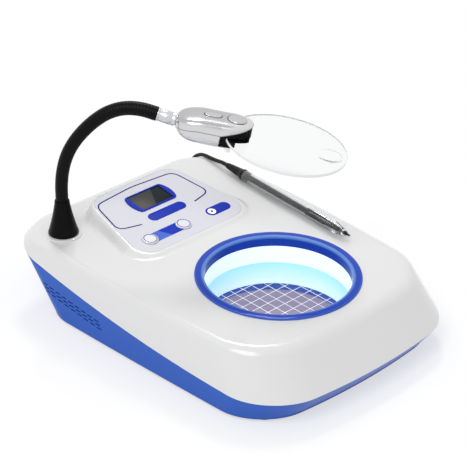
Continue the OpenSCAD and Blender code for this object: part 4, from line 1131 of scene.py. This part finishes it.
pill_x, cap_x, cap_r, pill_l, pill_w = 31.5, 51.5, 8.0, 14.0, 7.0
plate_top = Finish("plated_cover", (0.5, 0.5, 0.51), 0.2, metallic=1.0)
hx, hy, hz = plate_top.axes(at_head)
seam = (hx - 20.0).most(0.0) * -0.2 + (hx - 39.0).most(0.0) * 0.36 + part_z
above = hz - seam
brushed = plate_top.noise(1.2)
# Painted reflection: the plating is painted dark in a band just above the seam, bright on the flanks and
# a middle grey on the crown.
flank_painted_reflection = plate_top.blend((above / 1.1).clipped(), (0.16, 0.16, 0.165), (0.66, 0.66, 0.67))
crown_painted_reflection = ((above - 5.6) / 1.6).clipped()
painted_reflection_tone = plate_top.blend(crown_painted_reflection, flank_painted_reflection, (0.47, 0.47, 0.48))
past_pill = ((hx - pill_x).size() - (pill_l - pill_w) / 2).most(0.0).hypot(hy) - pill_w / 2
past_cap = (hx - cap_x).hypot(hy) - cap_r
# Painted shade: a dark hairline in the gap round the button and the cap.
near = past_pill.size().least(past_cap.size()).below(0.62) * (above - 4.5).above(0.0)
plate_top.feed("Base Color", plate_top.blend(near, painted_reflection_tone, (0.07, 0.07, 0.075)))
plate_top.feed("Roughness", 0.16 + brushed * 0.08)

# %% Head shells
upper = piece_from("head_cover", *skin([arch(x) for x in stations(0, head_l, 44)]),
                   plate_top, at_head, 28)
combine(upper, [
    piece_from("hollow", *skin([arch(x, head_t, 2.0) for x in stations(2.2, head_l - 3.6, 24)]),
               silver_plate, at_head),
    prism("pill_cut", stadium(pill_l + 0.5, pill_w + 0.5), -4, 4, silver_plate, at_top(pill_x)),
    lathe("cap_cut", [(0, -0.7), (cap_r + 0.15, -0.7), (cap_r + 0.15, 4), (0, 4)],
          silver_plate, at_top(cap_x), 96)])
keep(settle_shading(upper, 28), "head", "head_silver", "head_shell")
lower = piece_from("head_trough", *skin([trough(x) for x in stations(0.4, sump_l, 40)]),
                   silver_plate, at_head, 28)
lens_tilt, jaw_l = 11.6, 64.5
lamp_places = [at_head @ moved(43, y, -21.2) @ turned("Y", 160) for y in (-6, 6)]
at_jaw = at_head @ moved(jaw_x - 0.5, 0, -15.5) @ turned("Y", lens_tilt) @ moved(jaw_l / 2, 0, 0)
combine(lower, [
    piece_from("hollow", *skin([trough(x, head_t, 2.0) for x in stations(3.0, sump_l - head_t, 24)]),
               silver_plate, at_head),
    boxed("jaw_cut", jaw_l, 70, 0, 35, silver_plate, at_jaw)]
    + [post_cut("lamp_cut", 2.8, -10, 10, m, 40) for m in lamp_places])
keep(settle_shading(lower, 28), "head", "head_silver", "head_sump")

# %% Button and pivot cap
cap_plate = Finish("plated_button", (0.5, 0.5, 0.51), 0.24, (1.2, 0.02, 0.06), metallic=1.0)
button = prism("lamp_pill", stadium(pill_l, pill_w), -head_t - 0.4, 0.6, cap_plate,
               at_top(pill_x), 0.45)
flange = prism("pill_flange", stadium(pill_l + 2.4, pill_w + 2.4), -head_t - 1.1, -head_t - 0.3,
               cap_plate, at_top(pill_x))
combine(button, [flange], "UNION")
keep(settle_shading(button), "lamp_button", "button_silver", "lamp_button")
cap = lathe("pivot_disc", [(0, -0.7), (cap_r, -0.7), (cap_r, 0.15), (cap_r - 0.25, 0.4),
                           (cap_r - 0.7, 0.42), (cap_r - 0.9, 0.7), (cap_r - 1.3, 0.72), (0, 0.6)],
            cap_plate, at_top(cap_x), 96, 30)
keep(cap, "head", "button_silver", "pivot_cap")

# %% [markdown]
# ## Lens
# The lens is a biconvex disc, clear and frameless, with a small stronger spot
# near its far edge: a low dome that is joined on from below. Both are turned
# profiles. The rim and the dome's steep edge get a ground finish with a faint
# painted glow, because clear glass would mirror black there.

# %% Lens piece
lens_r, lens_edge, lens_mid = 51.0, 2.4, 6.0
lens_at = (head_l - 23.4 + lens_r * cosd(lens_tilt), 0, -8.6 - lens_r * sind(lens_tilt))
at_lens = at_head @ moved(*lens_at) @ turned("Y", lens_tilt)
def lens_z(r):
    return lens_edge / 2 + (lens_mid - lens_edge) / 2 * (1 - (r / lens_r) ** 2)

lens_clear = Finish("lens_clear", (0.93, 0.935, 0.935), 0.0, transmission_weight=1.0, ior=1.12)
faint = lens_clear.noise(6.0)
lens_clear.feed("Roughness", 0.004 + faint * 0.012)
# The ground edge's faint emission is a painted glow. The edge is no lamp.
ground_edge_painted_glow = Finish("ground_edge_painted_glow", (0.66, 0.67, 0.68), 0.4, (0.4, 0.01, 0.05),
                     emission_color=(0.8, 0.82, 0.83, 1.0), emission_strength=0.18)
bow = [(lens_r * i / 24, lens_z(lens_r * i / 24)) for i in range(24)]
upper_half = bow + [(lens_r - 0.35, lens_z(lens_r)), (lens_r, 0.9)]
lens = lathe("lens_disc", upper_half + [(r, -z) for r, z in reversed(upper_half)],
             lens_clear, at_lens, 200, 60)
spot_r, spot_bulge = 11.0, 1.6
spot_x = lens_r - spot_r - 4
spot_low = lens_z(spot_x - spot_r)
dome = [(spot_r * i / 12, -spot_low - spot_bulge * (1 - (i / 12) ** 2)) for i in range(13)]
combine(lens, [lathe("spot", dome + [(spot_r, 0.0), (0.0, 0.0)], lens_clear,
                     at_lens @ moved(spot_x, 0, 0), 64, 60)], "UNION")
settle_shading(healed(lens), 24)
if len(lens.data.materials) < 2:
    lens.data.materials.append(ground_edge_painted_glow.material)
back = at_lens.inverted()
axis = (at_lens.to_3x3() @ Vector((0, 0, 1))).normalized()
for face in lens.data.polygons:
    middle = back @ (face.center / MM)
    if math.hypot(middle.x, middle.y) > lens_r - 0.4 or abs(face.normal.dot(axis)) < 0.3:
        face.material_index = 1  # the ground edge
keep(lens, "head", "lens_glass", "lens")

# %% [markdown]
# ## Counting pen
# The pen lies on the deck beside the panel: a clear barrel over a black core
# with grip ribs, a black tail that takes the cord, and a fine tip that
# presses in. All of it is turned, each piece with small rounded edges.

# %% Pen finishes
pen_clear = Finish("pen_clear", (0.95, 0.965, 0.975), 0.04, (1.5, 0.003, 0.02, 0.1),
                   transmission_weight=1.0, ior=1.45)
pen_black = Finish("pen_black", (0.006, 0.006, 0.0065), 0.34, (0.35, 0.01, 0.1, 0.35),
                   specular_ior_level=0.2)

# %% Pen barrel
pen_x, pen_y, pen_turn, pen_r, pen_t = 84.0, 54.0, 4.0, 5.0, 1.0
nose_l, pen_l, tail_in, tip_r, nose_at, nose_floor = 18.0, 118.0, 6.0, 1.1, 5.0, 9.0
end = nose_l + pen_l
at_pen = (moved(pen_x, -pen_y, deck_z(-pen_y) + 5.2 / cosd(deck_slope))
          @ turned("Z", -pen_turn) @ turned("X", deck_slope - 90))
profile = [(tip_r + 0.05, nose_at), (tip_r + 0.7, nose_at), (tip_r + 0.9, nose_at + 0.2)]
for k in range(9):
    t = k / 8
    profile.append((3.3 + 1.7 * t - 0.35 * math.sin(math.pi * t) * 0.5, nose_at + 5.5 + 7.5 * t))
profile += [(pen_r, end - 0.3), (pen_r - 0.25, end), (pen_r - pen_t, end), (pen_r - pen_t, nose_l + 4),
            (tip_r + 1.4, nose_l + 2), (tip_r + 1.4, nose_floor), (tip_r + 0.05, nose_floor)]
keep(lathe("barrel", profile, pen_clear, at_pen, 72, 40), "pen", "pen_clear", "pen_barrel")

# %% Pen core, tail and tip
profile = [(0, nose_floor + 4.4), (2.0, nose_floor + 4.4), (2.2, nose_floor + 4.8), (2.2, nose_l + 11.5)]
for k in range(10):
    z = nose_l + 12 + k * 2.4
    profile += [(2.3, z - 0.1), (2.8, z + 0.15), (2.8, z + 1.05), (2.3, z + 1.3)]
profile += [(2.2, nose_l + 36.5), (2.2, end - tail_in - 0.05), (0, end - tail_in - 0.05)]
keep(lathe("ribbed_core", profile, pen_black, at_pen, 48, 40), "pen", "pen_black", "pen_core")
profile = [(0, end - tail_in), (3.95, end - tail_in), (3.95, end + 0.02), (4.85, end + 0.02),
           (5.0, end + 0.2), (5.0, end + 2.8), (4.85, end + 3.2), (4.2, end + 5.0)]
for k in range(7):
    r, z = 4.1 - 0.22 * k, end + 6.2 + k * 2.5
    profile += [(r, z), (r, z + 1.3), (r - 0.45, z + 1.5), (r - 0.45, z + 2.3)]
profile += [(2.5, end + 24.2), (2.25, end + 24.95), (0, end + 24.95)]
keep(lathe("tail_piece", profile, pen_black, at_pen, 64, 40), "pen", "pen_black", "pen_tail")
profile = [(0, 0.02), (0.35, 0.02), (0.5, 0.2), (tip_r, 3.0), (tip_r, nose_floor + 0.05),
           (2.1, nose_floor + 0.05), (2.1, nose_floor + 1.85), (0, nose_floor + 1.85)]
keep(lathe("tip", profile, pen_black, at_pen, 40, 40), "pen_tip", "pen_black", "pen_tip")

# %% [markdown]
# ## Finishes for the solids that stay
# Feet, screws, boards, jacks, the rocker and the jaw are right as they are,
# so each gets its finish and keeps its shape.

# %% Finishes on solids
chip_warm = Finish("chip_warm", (0.80, 0.70, 0.32), 0.3, (0.5, 0.01, 0.05), coat_weight=0.4)
tape_cream = Finish("tape_cream", (0.72, 0.70, 0.62), 0.45, (0.4, 0.01, 0.08))
for finish, names in (
        (foot_rubber, ["feet"]),
        (bright_steel, ["cover_screws", "small_screws", "jack_nuts", "neck_nut"]),
        (circuit_green, ["display_board", "main_board"]),
        (black_plastic, ["display_board_parts", "board_parts", "buzzer", "power_jack", "probe_jack",
                         "switch_body", "lens_jaw"]),
        (red_plastic, ["switch_rocker"]),
        (lamp_case, ["lamp_housing"]), (tape_cream, ["lamp_strip"]), (chip_warm, ["lamp_chips"]),
        (lamp_clear, ["head_lamps"]), (cord_black, ["pen_plug"])):
    wear(finish, *[node[name] for name in names])
    print(finish.material.name, "on", ", ".join(names))

# %% End
bpy.context.view_layer.update()
